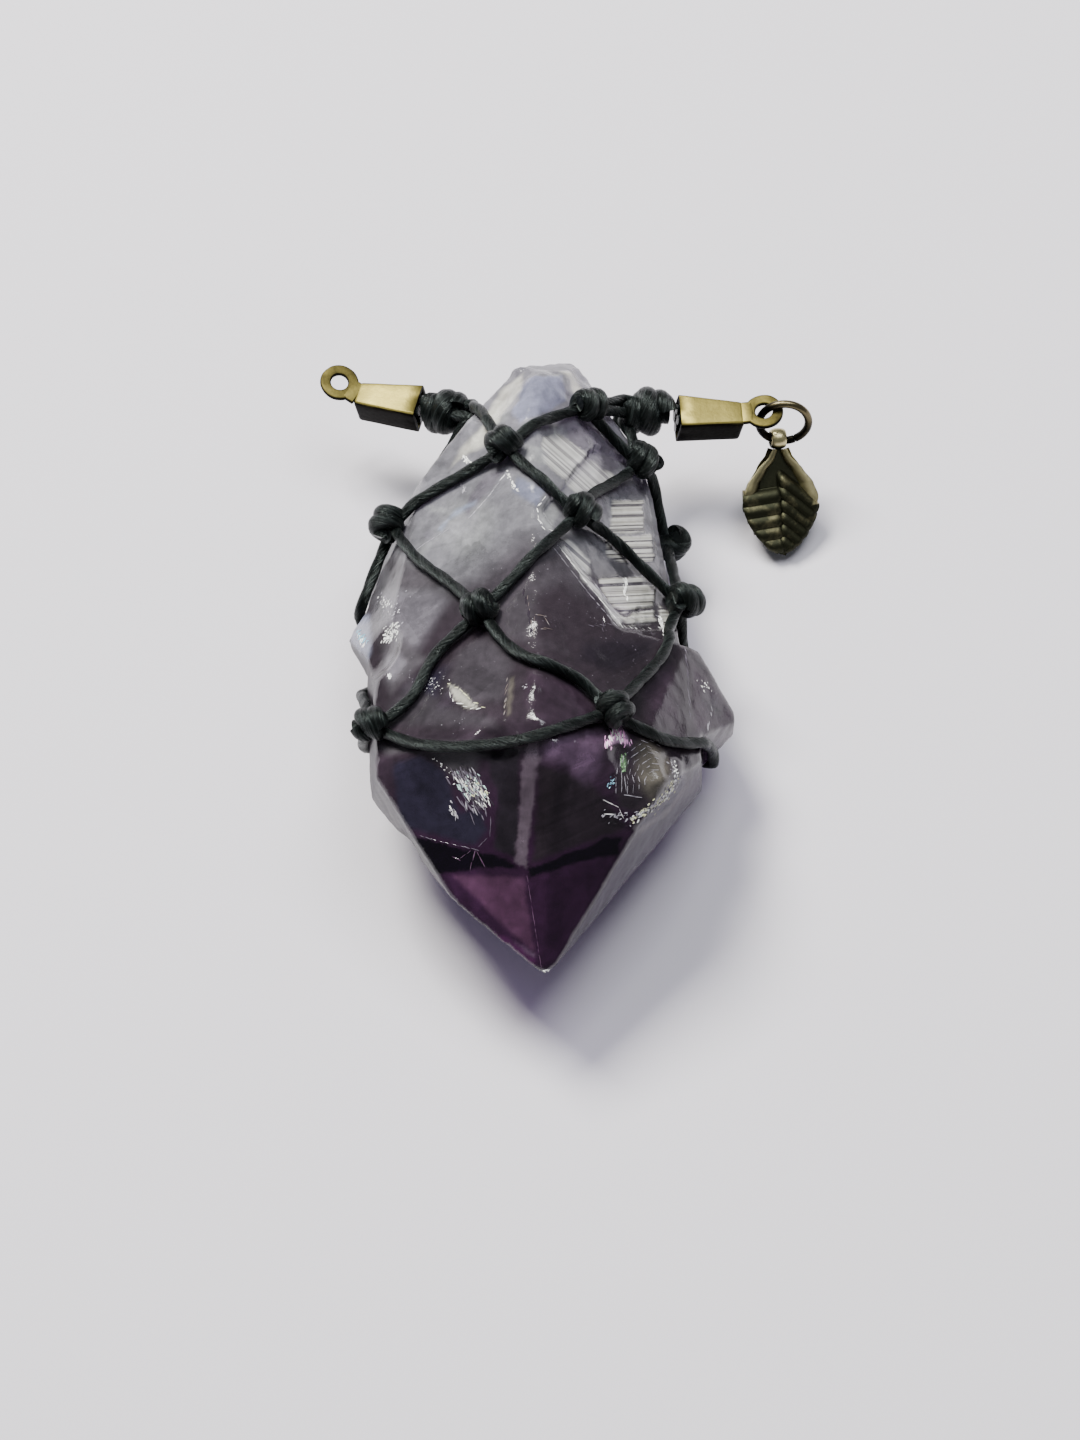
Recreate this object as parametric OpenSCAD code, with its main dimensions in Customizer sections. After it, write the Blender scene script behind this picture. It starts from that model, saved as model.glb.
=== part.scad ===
// Raw amethyst point held in a knotted net of waxed cord, with two metal cord ends and a leaf charm.
// It lies on its back: +Z is up, the stone's point looks along -Y, and the surface is at z = 0.

/* [Stone] */
// Length of the stone from its point to its broken root
stone_length = 51.5; // [49:0.5:54]

/* [Cord net] */
// Diameter of the waxed cord
cord_d = 0.95; // [0.8:0.05:1.1]
// Height of a net knot over the stone
knot_h = 2.5; // [2.2:0.1:2.8]
// Length of a net knot along its wraps
knot_l = 2.9; // [2.6:0.1:3.2]

/* [Gather knots] */
// Width of the knot that gathers the cords on each side
gather_w = 3.5; // [3.2:0.1:4]
// Length of the knot that gathers the cords on each side
gather_l = 3.5; // [3.2:0.1:3.8]

/* [Cord ends] */
// Length of the folded metal box of a cord end
box_l = 4.9; // [4.5:0.1:5.3]
// Width of the box at its open end
box_w = 2.9; // [2.6:0.1:3.2]
// Width of the box at its neck
neck_end_w = 2.0; // [1.8:0.1:2.4]
// Height of the box
box_h = 2.4; // [2.2:0.1:2.8]
// Thickness of the folded sheet
sheet_t = 0.3; // [0.25:0.05:0.4]
// Outer diameter of the eye
eye_d = 2.9; // [2.6:0.1:3.2]
// Diameter of the hole in the eye
eye_hole_d = 1.3; // [1.2:0.1:1.5]

/* [Jump ring] */
// Outer diameter of the jump ring
ring_d = 4.3; // [4:0.1:4.6]
// Wire diameter of the jump ring
ring_wire = 0.6; // [0.5:0.05:0.65]

/* [Leaf charm] */
// Length of the leaf's blade
leaf_l = 7.6; // [7:0.1:8.2]
// Width of the leaf's blade
leaf_w = 5.4; // [5:0.1:5.8]
// Thickness of the blade at its rim
leaf_t = 0.9; // [0.7:0.1:1.1]

/* [Hidden] */
$fn = 64;
gap = 0.05;
grow = stone_length / 51.5;

// Place of the stone: its long axis is parallel to Y
stone_x = -2.2;
tip_y = -26;
axis_z = 10 * grow;
belly = 21.1 * grow;
block = 90 * grow;

// A cut face of the stone, seen from the middle of its axis
AZ = 0;     // angle round the long axis, 0 is up and 90 is +X
LEAN = 1;   // lean of the face towards the point, negative towards the root
DIST = 2;   // distance from the middle

FACES = [
    // point
    [ -30,  36.0, 11.2],
    [  30,  36.0, 11.5],
    [  -4,  37.0, 11.9],
    [ -92,  34.0, 13.7],
    [  88,  34.0, 12.2],
    [-150,  25.0,  9.9],
    [ 150,  26.0, 10.5],
    [ -60,  65.0, 19.2],
    // body
    [ -28,  -8.0,  7.7],
    [  32,  -8.0,  7.3],
    [  45, -10.0,  7.6],
    [ -60, -10.0, 11.2],
    [ -85,   2.5, 12.1],
    [  88,  -8.0, 10.8],
    [-135,   0.0, 10.8],
    [ 140,  -4.0, 10.8],
    [ 180,   0.0,  7.45],
    // root
    [ 180, -15.0, 10.4],
    [ -80, -35.0, 17.9],
    [ -80, -15.0, 14.4],
    [ -70, -54.0, 24.1],
    [  75, -36.0, 18.8],
    [  84, -16.0, 13.0],
    [  10, -78.0, 29.6],
    [   5, -50.0, 22.6],
];

// Broken ledge that stands out on the right below the growth steps
LEDGE = [
    [  75, -27.0, 11.9],
    [  92,  -5.0, 14.1],
    [  90,  44.0, 10.0],
    [  32,  -8.0,  7.3],
    [  48,   0.0,  8.8],
    [ 170,   0.0,  7.0],
    [  20, -75.0,  5.4],
    [ -90,   0.0, -5.0],
];

// Clear splinter on the left
SPLINTER = [
    [ -80, -45.0, 15.1],
    [ -90,   0.0, 13.8],
    [ -88,  19.0, 10.3],
    [ -60, -10.0, 11.2],
    [-165,   0.0,  6.9],
    [  90,   0.0, -11.0],
];

// Shell-shaped breaks: the place on the skin, the radius of the bowl and its depth
S_ST = 0;
S_ANG = 1;
S_RAD = 2;
S_DEPTH = 3;
SCOOPS = [
    [12.6,  44, 5.0, 0.9],
    [12.4, -22, 3.2, 0.7],
    [25.0, -74, 4.0, 0.8],
    [30.5, -64, 3.4, 0.6],
    [43.0,  30, 5.5, 0.9],
    [46.5, -40, 4.5, 0.9],
    [50.5,  60, 3.5, 0.8],
    [49.0, 150, 5.0, 1.1],
    [ 9.0,-100, 3.0, 0.5],
];

// Knots of the net: station from the point, angle round the axis, turn of the wraps on the face
K_ST = 0;
K_ANG = 1;
K_TURN = 2;
FRONT_KNOTS = [
    [45.0,  50,  20],
    [39.8, -25,  30],
    [42.2,  91, -30],
    [36.2, -87,  60],
    [33.8,  26, -35],
    [25.0, -31,   5],
    [30.0,  90,  10],
    [38.5, 121,   0],
    [17.0, -69,   0],
    [16.5,  34, -60],
];
BACK_KNOTS = [
    [45.5, -165,  20],
    [40.5, -122, -30],
    [42.0,  150,  30],
    [33.0, -172,  10],
    [27.0, -122,  20],
    [26.5,  170, -25],
    [21.5, -150,  40],
    [21.5,  145, -20],
];
KNOTS = concat(FRONT_KNOTS, BACK_KNOTS);

// Places of a cord between two knots, as rows of from, to, and the [station, angle] stops between
W_FROM = 0;
W_TO = 1;
WAYS = [
    [0, 1, [44.0, 27], [42.2, 1]],
    [0, 2, [44.0, 80]],
    [1, 3, [38.8, -52], [38.2, -65], [37.5, -77]],
    [1, 4, [36.5, -3]],
    [2, 4, [41.2, 95], [39.2, 77], [36.6, 42]],
    [2, 7, [42.0, 106], [40.5, 119]],
    [3, 5, [31.2, -71], [29.0, -56]],
    [3, 14, [34.5, -98], [30.5, -100]],
    [4, 5, [28.8, -4]],
    [4, 6, [33.8, 57], [32.7, 74]],
    [5, 8, [22.0, -60], [19.2, -58]],
    [5, 9, [21.8, -19], [19.8, -8], [18.8, 2], [19.2, 20]],
    [6, 9, [27.5, 88], [23.8, 72], [19.5, 51]],
    [6, 17, [28.0, 118], [24.5, 134]],
    [14, 8, [24.0, -104], [21.0, -86]],
    [8, 9, [14.5, -57], [13.9, -44], [13.6, -28], [13.2, 1]],
    [9, 17, [15.6, 60], [16.8, 80], [19.3, 102], [20.8, 122]],
    [16, 8, [19.8, -106]],
];

// Gather knots: the middle of each knot, its turn about Z towards the stone and its rise on the way
G_POS = 0;
G_TURN = 1;
G_RISE = 2;
LEFT = 0;
RIGHT = 1;
GATHERS = [
    [[-9.4, 21.8, 7.9], -15, 10],
    [[6.2, 21.7, 8], 184, 10],
];

// Each cord as the stops on its way: a number is a knot, -1 the left gather knot, -2 the right one
TO_LEFT = -1;
TO_RIGHT = -2;
CORDS = [
    [8, 5, 4, 2, TO_RIGHT],
    [9, 6, 7, 12, 10, TO_LEFT],
    [17, 15, 13, 11, TO_LEFT],
    [16, 14, 3, 1, 0, TO_RIGHT],
    [9, 5, 3, 11, 10, TO_LEFT],
    [8, 14, 13, 12, TO_RIGHT],
    [16, 15, 7, 2, 0, TO_RIGHT],
    [17, 6, 4, 1, TO_LEFT],
];
// Seat of each cord's end in the mouth of its gather knot, and its side where two leave one knot
M_SIDE = 0;
M_UP = 1;
M_START = 2;
SEATS = [
    [1, -1, 0],
    [-1, -1, 1],
    [-1, 1, 0],
    [-1, 1, -1],
    [1, -1, -1],
    [-1, -1, 0],
    [1, 1, 1],
    [1, 1, 0],
];
RIM = [8, 9, 17, 16, 8];

// Geometry of the stone's skin

function face_normal(f) =
    [sin(f[AZ]) * cos(f[LEAN]), -sin(f[LEAN]), cos(f[AZ]) * cos(f[LEAN])];

function axis_point(st) = [stone_x, tip_y + st * grow, axis_z];

// Distance from the axis to the offset plane of one face, along the direction of the angle
function reach(f, st, ang, lift) =
    let(n = face_normal(f),
        along = n * [sin(ang), 0, cos(ang)],
        start = n[1] * (st * grow - belly))
    (f[DIST] * grow + lift - start) / (abs(along) < tiny ? tiny : along);

function faces_out(faces, ang) =
    [for (f = faces) if (face_normal(f) * [sin(ang), 0, cos(ang)] > tiny) f];
function faces_in(faces, ang) =
    [for (f = faces) if (face_normal(f) * [sin(ang), 0, cos(ang)] < -tiny) f];

function exit_of(faces, st, ang, lift) =
    min([for (f = faces_out(faces, ang)) reach(f, st, ang, lift)]);
function entry_of(faces, st, ang, lift) =
    max([for (f = faces_in(faces, ang)) reach(f, st, ang, lift)]);

// A body that stands out of the stone counts only where the direction meets it
function outcrop(faces, st, ang, lift) =
    let(far = exit_of(faces, st, ang, lift), near = entry_of(faces, st, ang, lift))
    near < far ? far : 0;

function skin_radius(st, ang, lift) =
    max(exit_of(FACES, st, ang, lift), outcrop(LEDGE, st, ang, lift), outcrop(SPLINTER, st, ang, lift));

function at_radius(st, ang, r) = axis_point(st) + r * [sin(ang), 0, cos(ang)];
function skin(st, ang, lift) = at_radius(st, ang, skin_radius(st, ang, lift));

// The main face that lies under a place above the skin
function face_under(st, ang, lift) =
    let(r = exit_of(FACES, st, ang, lift))
    [for (f = faces_out(FACES, ang)) if (abs(reach(f, st, ang, lift) - r) < tiny) f][0];

module half_space(f) {
    size = 2 * block;
    rotate([0, f[AZ], 0]) rotate([f[LEAN], 0, 0])
        translate([-block, -block, f[DIST] * grow]) cube(size);
}

module knapped(faces) {
    translate(axis_point(belly / grow)) difference() {
        cube(block, center = true);
        for (f = faces) half_space(f);
    }
}

module scoop(row) {
    translate(skin(row[S_ST], row[S_ANG], row[S_RAD] - row[S_DEPTH])) sphere(row[S_RAD]);
}

module stone() {
    color("#8d7a9c") difference() {
        union() {
            knapped(FACES);
            knapped(LEDGE);
            knapped(SPLINTER);
        }
        for (row = SCOOPS) scoop(row);
    }
}

// Knots

module wraps(width, length, turns) {
    tube = length / (turns - 0.25);
    pitch = (length - tube) / (turns - 1);
    rotate([0, 90, 0]) {
        cylinder(d = width - tube, h = length - tube / 2, center = true);
        for (i = [0:turns - 1])
            translate([0, 0, (i - (turns - 1) / 2) * pitch])
                rotate_extrude() translate([(width - tube) / 2, 0]) circle(d = tube, $fn = 32);
    }
}

module net_knot(row) {
    f = face_under(row[K_ST], row[K_ANG], knot_h / 2 + gap);
    color("#1d2422")
        translate(skin(row[K_ST], row[K_ANG], knot_h / 2 + gap))
            rotate([0, f[AZ], 0]) rotate([f[LEAN], 0, 0]) rotate([0, 0, row[K_TURN]])
                wraps(knot_h, knot_l, 3);
}

module gather_knot(side) {
    g = GATHERS[side];
    color("#1d2422") translate(g[G_POS]) rotate([0, 0, g[G_TURN]]) rotate([0, -g[G_RISE], 0])
        wraps(gather_w, gather_l, 3);
}

// Cords

// A tube through the points of a route, with a ring of corners round each point
module tube(points, d, sides = 8) {
    n = len(points);
    dirs = [for (i = [0:n - 1])
        let(v = points[min(i + 1, n - 1)] - points[max(i - 1, 0)]) v / norm(v)];
    rings = [for (i = [0:n - 1], k = [0:sides - 1])
        let(t = dirs[i],
            out = [points[i][0] - stone_x, 0, points[i][2] - axis_z],
            side = cross(t, out),
            a = side / norm(side),
            b = cross(t, a))
        points[i] + d / 2 * (a * cos(360 * k / sides) + b * sin(360 * k / sides))];
    walls = [for (i = [0:n - 2], k = [0:sides - 1])
        let(m = (k + 1) % sides)
        each [
            [i * sides + k, (i + 1) * sides + m, i * sides + m],
            [i * sides + k, (i + 1) * sides + k, (i + 1) * sides + m]
        ]];
    ends = [
        [for (k = [0:sides - 1]) k],
        [for (k = [sides - 1:-1:0]) (n - 1) * sides + k]
    ];
    polyhedron(rings, concat(walls, ends), convexity = 4);
}

knot_lift = knot_h / 2 + gap;
// A cord keeps this far from the stone, so that straight pieces of it don't cut a ridge
cord_off = 0.34;
cord_lift = cord_d / 2 + cord_off;
// A cord starts this far from a knot's middle, and its next place is further out by the first step
knot_clear = knot_l / 2 + 0.35;
first_step = 0.3;
// Steps along a cord: before it is pulled tight, and the least after that
ring_step = 0.9;
net_least = 0.5;
gather_least = 0.4;
pull_times = 6;
seat_step = cord_d / 2 + 0.16;
// Numbers below this are zero
tiny = 0.001;

function knot_middle(k) = skin(KNOTS[k][K_ST], KNOTS[k][K_ANG], knot_lift);

function stops_of(row) = [for (i = [2:len(row) - 1]) row[i]];
function turned_round(list) = [for (i = [len(list) - 1:-1:0]) list[i]];
function stops_between(from, to) =
    let(forth = [for (w = WAYS) if (w[W_FROM] == from && w[W_TO] == to) stops_of(w)],
        back = [for (w = WAYS) if (w[W_FROM] == to && w[W_TO] == from) turned_round(stops_of(w))])
    len(forth) > 0 ? forth[0] : len(back) > 0 ? back[0] : [];

// How far a place is outside the outermost face of a body, below zero inside it
function outside(faces, p) =
    let(q = p - axis_point(belly / grow))
    max([for (f = faces) face_normal(f) * q - f[DIST] * grow]);

// Moves a place out of a body by its nearest outer face
function pushed(faces, p, lift) =
    let(q = p - axis_point(belly / grow),
        d = outside(faces, p),
        open = [for (f = faces) if (f[DIST] > 0) face_normal(f) * q - f[DIST] * grow],
        near = max(open),
        f = [for (f = faces) if (f[DIST] > 0 && face_normal(f) * q - f[DIST] * grow > near - tiny) f][0])
    d >= lift ? p : p + (lift - near) * face_normal(f);
function off_stone(p, lift) =
    pushed(FACES, pushed(SPLINTER, pushed(LEDGE, pushed(FACES, p, lift), lift), lift), lift);

// Pulls a cord tight round the stone, a little more each time
function tightened(points, times) =
    times == 0 ? points :
    tightened([for (i = [0:len(points) - 1])
        i == 0 || i == len(points) - 1 ? points[i] :
        off_stone((points[i - 1] + 2 * points[i] + points[i + 1]) / 4, cord_lift)], times - 1);

// Points of a straight way between two places, without the last one
function strewn(a, b) =
    let(steps = max(1, ceil(norm(b - a) / ring_step)))
    [for (i = [0:steps - 1]) a + (b - a) * i / steps];

// Leaves out places that crowd the one before
function spaced(points, least) =
    [for (i = 0, last = points[0], keep = true; i < len(points);
        i = i + 1, keep = i < len(points) && norm(points[i] - last) >= least, last = keep ? points[i] : last)
        if (keep) points[i]];

// Starts a cord clear of the knot round the given middle
function trimmed(points, middle) =
    let(rest = [for (p = points) if (norm(p - middle) > knot_clear + first_step) p],
        toward = rest[0] - middle)
    concat([middle + knot_clear * toward / norm(toward)], rest);

function net_route(from, to) =
    let(a = KNOTS[from],
        b = KNOTS[to],
        stops = concat([a], stops_between(from, to), [b]),
        places = [for (i = [0:len(stops) - 1])
            i == 0 ? knot_middle(from) :
            i == len(stops) - 1 ? knot_middle(to) :
            at_radius(stops[i][K_ST], stops[i][K_ANG],
                exit_of(FACES, stops[i][K_ST], stops[i][K_ANG], cord_lift))],
        strewn_way = [for (i = [0:len(places) - 2]) each strewn(places[i], places[i + 1])],
        way = concat(strewn_way, [knot_middle(to)]),
        tight = spaced(tightened(way, pull_times), net_least))
    turned_round(trimmed(turned_round(trimmed(tight, knot_middle(from))), knot_middle(to)));

// Direction from a gather knot towards the stone
function gather_axis(side) =
    let(t = GATHERS[side][G_TURN], r = GATHERS[side][G_RISE])
    [cos(t) * cos(r), sin(t) * cos(r), sin(r)];
// Place of a cord's end in the mouth of a gather knot
function mouth(side, seat) =
    let(t = GATHERS[side][G_TURN],
        level = [-sin(t), cos(t), 0],
        up = cross(gather_axis(side), level))
    GATHERS[side][G_POS] + ((gather_l + cord_d) / 2 + gap) * gather_axis(side)
        + seat_step * (seat[M_SIDE] * level + seat[M_UP] * up);

// Moves a place out of a gather knot, away from its axis
function off_gather(p, side) =
    let(q = p - GATHERS[side][G_POS],
        along = q * gather_axis(side),
        away = q - along * gather_axis(side),
        least = (gather_w + cord_d) / 2 + gap)
    abs(along) > (gather_l + cord_d) / 2 || norm(away) > least ? p :
    p + (least - norm(away)) * away / norm(away);

// A cord that comes in beside the gather knot ends at its flank
function up_to_gather(points, side) =
    let(beside = [for (i = [0:len(points) - 1])
            let(q = points[i] - GATHERS[side][G_POS], along = q * gather_axis(side))
            if (abs(along) < (gather_l + cord_d) / 2 - gap
                && norm(q - along * gather_axis(side)) < (gather_w + cord_d) / 2 + gap / 2) i],
        count = len(beside) > 0 ? beside[0] : len(points))
    [for (i = [0:count - 1]) points[i]];

function gather_route(knot, side, seat) =
    let(middle = knot_middle(knot),
        b = mouth(side, seat),
        f = face_under(KNOTS[knot][K_ST], KNOTS[knot][K_ANG], knot_lift),
        across = cross(b - middle, face_normal(f)),
        a = middle + seat[M_START] * seat_step * across / norm(across),
        way = [for (p = concat(strewn(a, b), [b])) off_gather(p, side)],
        tight = [for (p = tightened(way, pull_times)) off_stone(off_gather(p, side), cord_lift)])
    trimmed(up_to_gather(spaced(tight, gather_least), side), middle);

module cord(stops, seat) {
    color("#232b29") for (i = [0:len(stops) - 2]) {
        last = stops[i + 1];
        side = last == TO_LEFT ? LEFT : RIGHT;
        tube(last < 0 ? gather_route(stops[i], side, seat) : net_route(stops[i], last), cord_d);
    }
}

// Cord ends: the metal box is folded over the cut cords, its flat back is up

C_POS = 0;
C_TURN = 1;
C_RISE = 2;
E_TURN = 3;
E_RISE = 4;
// Neck of each end on its flat back, turn and rise of the box towards the cords, turn and drop of the eye
CRIMPS = [
    [[-16, 23.5, 8], -15, 10, -32, -10],
    [[13.1, 21.7, 8], 184, 10, 184, -2],
];

// Middle of the eye before the neck, and the thickness of its sheet
eye_out = 1.45;
eye_t = 0.4;
// Strip between the eye and the box
neck_w = 1.5;
neck_l = eye_out - 0.6;
neck_x = 0.8;
// Slit where the box is folded shut
seam = 0.3;
// Room between the box's closed end and the cut cords
cords_x = 1.3;

module at_box(side) {
    c = CRIMPS[side];
    translate(c[C_POS]) rotate([0, 0, c[C_TURN]]) rotate([0, -c[C_RISE], 0]) children();
}
module at_eye(side) {
    c = CRIMPS[side];
    translate(c[C_POS]) rotate([0, 0, c[E_TURN]]) rotate([0, -c[E_RISE], 0])
        translate([-eye_out, 0, 0]) children();
}
// The same move for a point in the eye's own place
function eye_point(side, p) =
    let(c = CRIMPS[side],
        q = [p[0] - eye_out, p[1], p[2]],
        e = -c[E_RISE],
        r = [q[0] * cos(e) + q[2] * sin(e), q[1], q[2] * cos(e) - q[0] * sin(e)],
        t = c[E_TURN])
    c[C_POS] + [r[0] * cos(t) - r[1] * sin(t), r[0] * sin(t) + r[1] * cos(t), r[2]];

module box_plan(inset) {
    polygon([
        [0, -neck_end_w / 2 + inset],
        [box_l + inset, -box_w / 2 + inset],
        [box_l + inset, box_w / 2 - inset],
        [0, neck_end_w / 2 - inset]
    ]);
}

module crimp(side) {
    color("#9a8558") difference() {
        union() {
            at_box(side) difference() {
                translate([0, 0, -box_h]) linear_extrude(box_h) box_plan(0);
                translate([sheet_t, 0, sheet_t - box_h]) linear_extrude(box_h - 2 * sheet_t)
                    box_plan(sheet_t);
                translate([-0.1, -seam / 2, -box_h - 0.1]) cube([box_l + 0.3, seam, sheet_t + 0.2]);
            }
            at_eye(side) {
                translate([0, 0, -eye_t]) cylinder(d = eye_d, h = eye_t);
                translate([neck_x, -neck_w / 2, -eye_t]) cube([neck_l, neck_w, eye_t]);
            }
        }
        at_eye(side) translate([0, 0, -1]) cylinder(d = eye_hole_d, h = 2);
    }
}

// Cut cords inside the box, two by two, reaching back to the gather knot
module cord_ends(side) {
    d = (box_h - 2 * sheet_t - 2 * gap) / 2;
    color("#232b29") at_box(side)
        for (y = [-1, 1], z = [-1, 1])
            translate([cords_x, y * (d / 2 - gap), z * (d / 2 - gap) - box_h / 2])
                rotate([0, 90, 0]) cylinder(d = d - gap, h = box_l - cords_x, $fn = 32);
}

// Jump ring and leaf

ring_r = (ring_d - ring_wire) / 2;
ring_tilt = 76;
// The ring passes through the eye at this angle round itself
ring_pass = 145;
RING_UP = [0, cos(ring_tilt), sin(ring_tilt)];
RING_POS = eye_point(RIGHT, [0, 0, -eye_t / 2])
    - ring_r * (cos(ring_pass) * [1, 0, 0] + sin(ring_pass) * RING_UP);

module jump_ring() {
    color("#4a463f") translate(RING_POS) rotate([ring_tilt, 0, 0])
        rotate_extrude() translate([ring_r, 0]) circle(d = ring_wire, $fn = 32);
}

// Slope, roll and turn of the hanging leaf
leaf_slope = 33;
leaf_roll = 10;
leaf_turn = 11;
// Loop of the leaf: outer radius, width, thickness, and how far its middle is above the ring's wire
bail_r = 0.78;
bail_w = 1.0;
bail_t = 0.35;
bail_up = 0.2;
// Raised rim of the blade: width, and height over the middle
rim = 0.45;
rim_h = 0.25;
LEAF_POS = RING_POS - (ring_r - bail_up) * RING_UP;

// Bail and blade lie along -Y from the bail
module leaf_charm() {
    arc_r = (pow(leaf_l / 2, 2) + pow(leaf_w / 2, 2)) / leaf_w;
    blade_y = -bail_r - leaf_l / 2;
    color("#8f8672") translate(LEAF_POS) rotate([leaf_slope, leaf_roll, leaf_turn]) {
        rotate([0, 90, 0]) rotate_extrude() translate([bail_r - bail_t / 2, -bail_w / 2])
            square([bail_t, bail_w]);
        translate([0, blade_y, -leaf_t / 2]) difference() {
            linear_extrude(leaf_t) intersection() {
                translate([arc_r - leaf_w / 2, 0]) circle(arc_r);
                translate([leaf_w / 2 - arc_r, 0]) circle(arc_r);
            }
            translate([0, 0, leaf_t - rim_h]) linear_extrude(leaf_t) intersection() {
                translate([arc_r - leaf_w / 2, 0]) circle(arc_r - rim);
                translate([leaf_w / 2 - arc_r, 0]) circle(arc_r - rim);
            }
        }
    }
}

stone();
for (i = [0:len(FRONT_KNOTS) - 1])
    net_knot(FRONT_KNOTS[i]);
for (i = [0:len(BACK_KNOTS) - 1])
    net_knot(BACK_KNOTS[i]);
for (i = [0:len(CORDS) - 1])
    cord(CORDS[i], SEATS[i]);
cord(RIM, SEATS[0]);  // net_rim
gather_knot(LEFT);  // gather_knot_left
gather_knot(RIGHT);  // gather_knot_right
cord_ends(LEFT);  // cord_ends_left
cord_ends(RIGHT);  // cord_ends_right
crimp(LEFT);  // crimp_left
crimp(RIGHT);  // crimp_right
jump_ring();
leaf_charm();
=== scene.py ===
# %% [markdown]
# # An amethyst point in a net of waxed cord
# The object is a raw amethyst point, about five centimetres long, held in a knotted net.
# The net ends in two metal cord ends, and a leaf charm hangs from a jump ring on the right one.
# The construction model gives the frame: every length below is in millimetres there, +Z is up.
# The stone looks along -Y with its point. Each piece is made in its place and stays there.

import math
import random

import bmesh
import bpy
from mathutils import Matrix, Vector, noise
from mathutils.bvhtree import BVHTree


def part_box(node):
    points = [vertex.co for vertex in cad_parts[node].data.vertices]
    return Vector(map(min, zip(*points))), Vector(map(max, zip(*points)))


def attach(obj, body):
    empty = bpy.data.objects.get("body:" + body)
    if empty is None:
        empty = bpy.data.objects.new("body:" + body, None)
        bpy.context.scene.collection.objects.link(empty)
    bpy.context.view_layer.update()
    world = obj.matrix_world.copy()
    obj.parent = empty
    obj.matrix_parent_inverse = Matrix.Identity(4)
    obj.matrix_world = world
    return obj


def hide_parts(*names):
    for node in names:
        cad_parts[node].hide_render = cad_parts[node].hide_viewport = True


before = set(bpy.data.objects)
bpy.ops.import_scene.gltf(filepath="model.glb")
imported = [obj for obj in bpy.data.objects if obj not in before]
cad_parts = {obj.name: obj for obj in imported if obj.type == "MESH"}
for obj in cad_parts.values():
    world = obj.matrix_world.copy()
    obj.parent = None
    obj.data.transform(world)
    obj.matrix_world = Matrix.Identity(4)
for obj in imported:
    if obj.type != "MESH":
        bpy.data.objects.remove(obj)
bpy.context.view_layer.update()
MM = 0.001

# %% [markdown]
# ## Helpers for pieces
# A finished piece is one mesh with its object at the origin, as a CAD node is.
# Work goes on in millimetres, and the last step brings the mesh to metres.
# So every number can be read like a drawing.

# %% Helpers for pieces
ROOT = "root"


def linked(name, data):
    """A new object with this data, in the scene."""
    made = bpy.data.objects.new(name, data)
    bpy.context.scene.collection.objects.link(made)
    return made


def finished_mesh(holder):
    """The mesh of an object with its modifiers or its sweep, and the object is gone."""
    graph = bpy.context.evaluated_depsgraph_get()
    made = bpy.data.meshes.new_from_object(holder.evaluated_get(graph))
    bpy.data.objects.remove(holder)
    return made


def moved(turn=0, rise=0, slope=0, at=(0, 0, 0)):
    """The place of a part: first sloped round X, then raised round Y, then turned round Z, then moved."""
    place = Matrix.Rotation(math.radians(turn), 4, "Z") @ Matrix.Rotation(math.radians(rise), 4, "Y")
    return Matrix.Translation(at) @ place @ Matrix.Rotation(math.radians(slope), 4, "X")


def show(mesh, name, material, slot, *nodes):
    """Makes the mesh a piece of the object in place of the CAD nodes."""
    for polygon in mesh.polygons:
        polygon.use_smooth = True
    mesh.materials.clear()
    mesh.materials.append(material)
    piece = linked(name, mesh)
    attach(piece, ROOT)
    if nodes:
        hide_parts(*nodes)
    return piece


def mesh_of(bm, name, place=None):
    """Closes a bmesh drawn in millimetres: normals outwards, placed, in metres."""
    bmesh.ops.remove_doubles(bm, verts=bm.verts, dist=0.001)
    bmesh.ops.recalc_face_normals(bm, faces=bm.faces)
    bm.transform(Matrix.Scale(MM, 4) @ (place or Matrix.Identity(4)))
    mesh = bpy.data.meshes.new(name)
    bm.to_mesh(mesh)
    bm.free()
    return mesh


# %% [markdown]
# ## Helpers for materials
# Colours are the hex values a colour picker shows, and one function turns them to the
# linear values that a shader works with. One function adds a node with its settings and links.

# %% Helpers for materials
def linear(hex_colour):
    """An sRGB hex colour as linear RGBA."""
    parts = [int(hex_colour[i : i + 2], 16) / 255 for i in (1, 3, 5)]
    return [c / 12.92 if c <= 0.04045 else ((c + 0.055) / 1.055) ** 2.4 for c in parts] + [1]


def add_node(tree, kind, inputs=None, stops=(), **settings):
    """Adds a node, sets its own settings and a ramp's stops, and fills its inputs with values or links."""
    node = tree.nodes.new(kind)
    for name, value in settings.items():
        setattr(node, name, value)
    elements = node.color_ramp.elements if stops else []
    for i, (position, colour) in enumerate(stops):
        element = elements[i] if i < len(elements) else elements.new(position)
        element.position = position
        element.color = linear(colour) if isinstance(colour, str) else (colour, colour, colour, 1)
    for name, value in (inputs or {}).items():
        if isinstance(value, bpy.types.NodeSocket):
            tree.links.new(value, node.inputs[name])
        else:
            node.inputs[name].default_value = value
    return node


def new_finish(name):
    """A material with one Principled shader on its surface."""
    material = bpy.data.materials.new(name)
    material.use_nodes = True
    tree = material.node_tree
    tree.nodes.clear()
    shader = add_node(tree, "ShaderNodeBsdfPrincipled")
    add_node(tree, "ShaderNodeOutputMaterial", {"Surface": shader.outputs[0]})
    return material, tree, shader


# %% [markdown]
# ## The camera
# The photograph looks down at the lying pendant from in front of its point, at 60 degrees
# above the table, from about 35 cm away. The whole picture is 1440 pixels high, so the
# lens is given for the long side of the frame.

# %% The camera
ELEVATION = math.radians(60)
DISTANCE = 353
LENS, SENSOR = 122.5, 36
LOOK_AT = Vector((-2.2, -4.9, 8))
TOWARDS_CAMERA = Vector((0, -math.cos(ELEVATION), math.sin(ELEVATION)))

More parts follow.
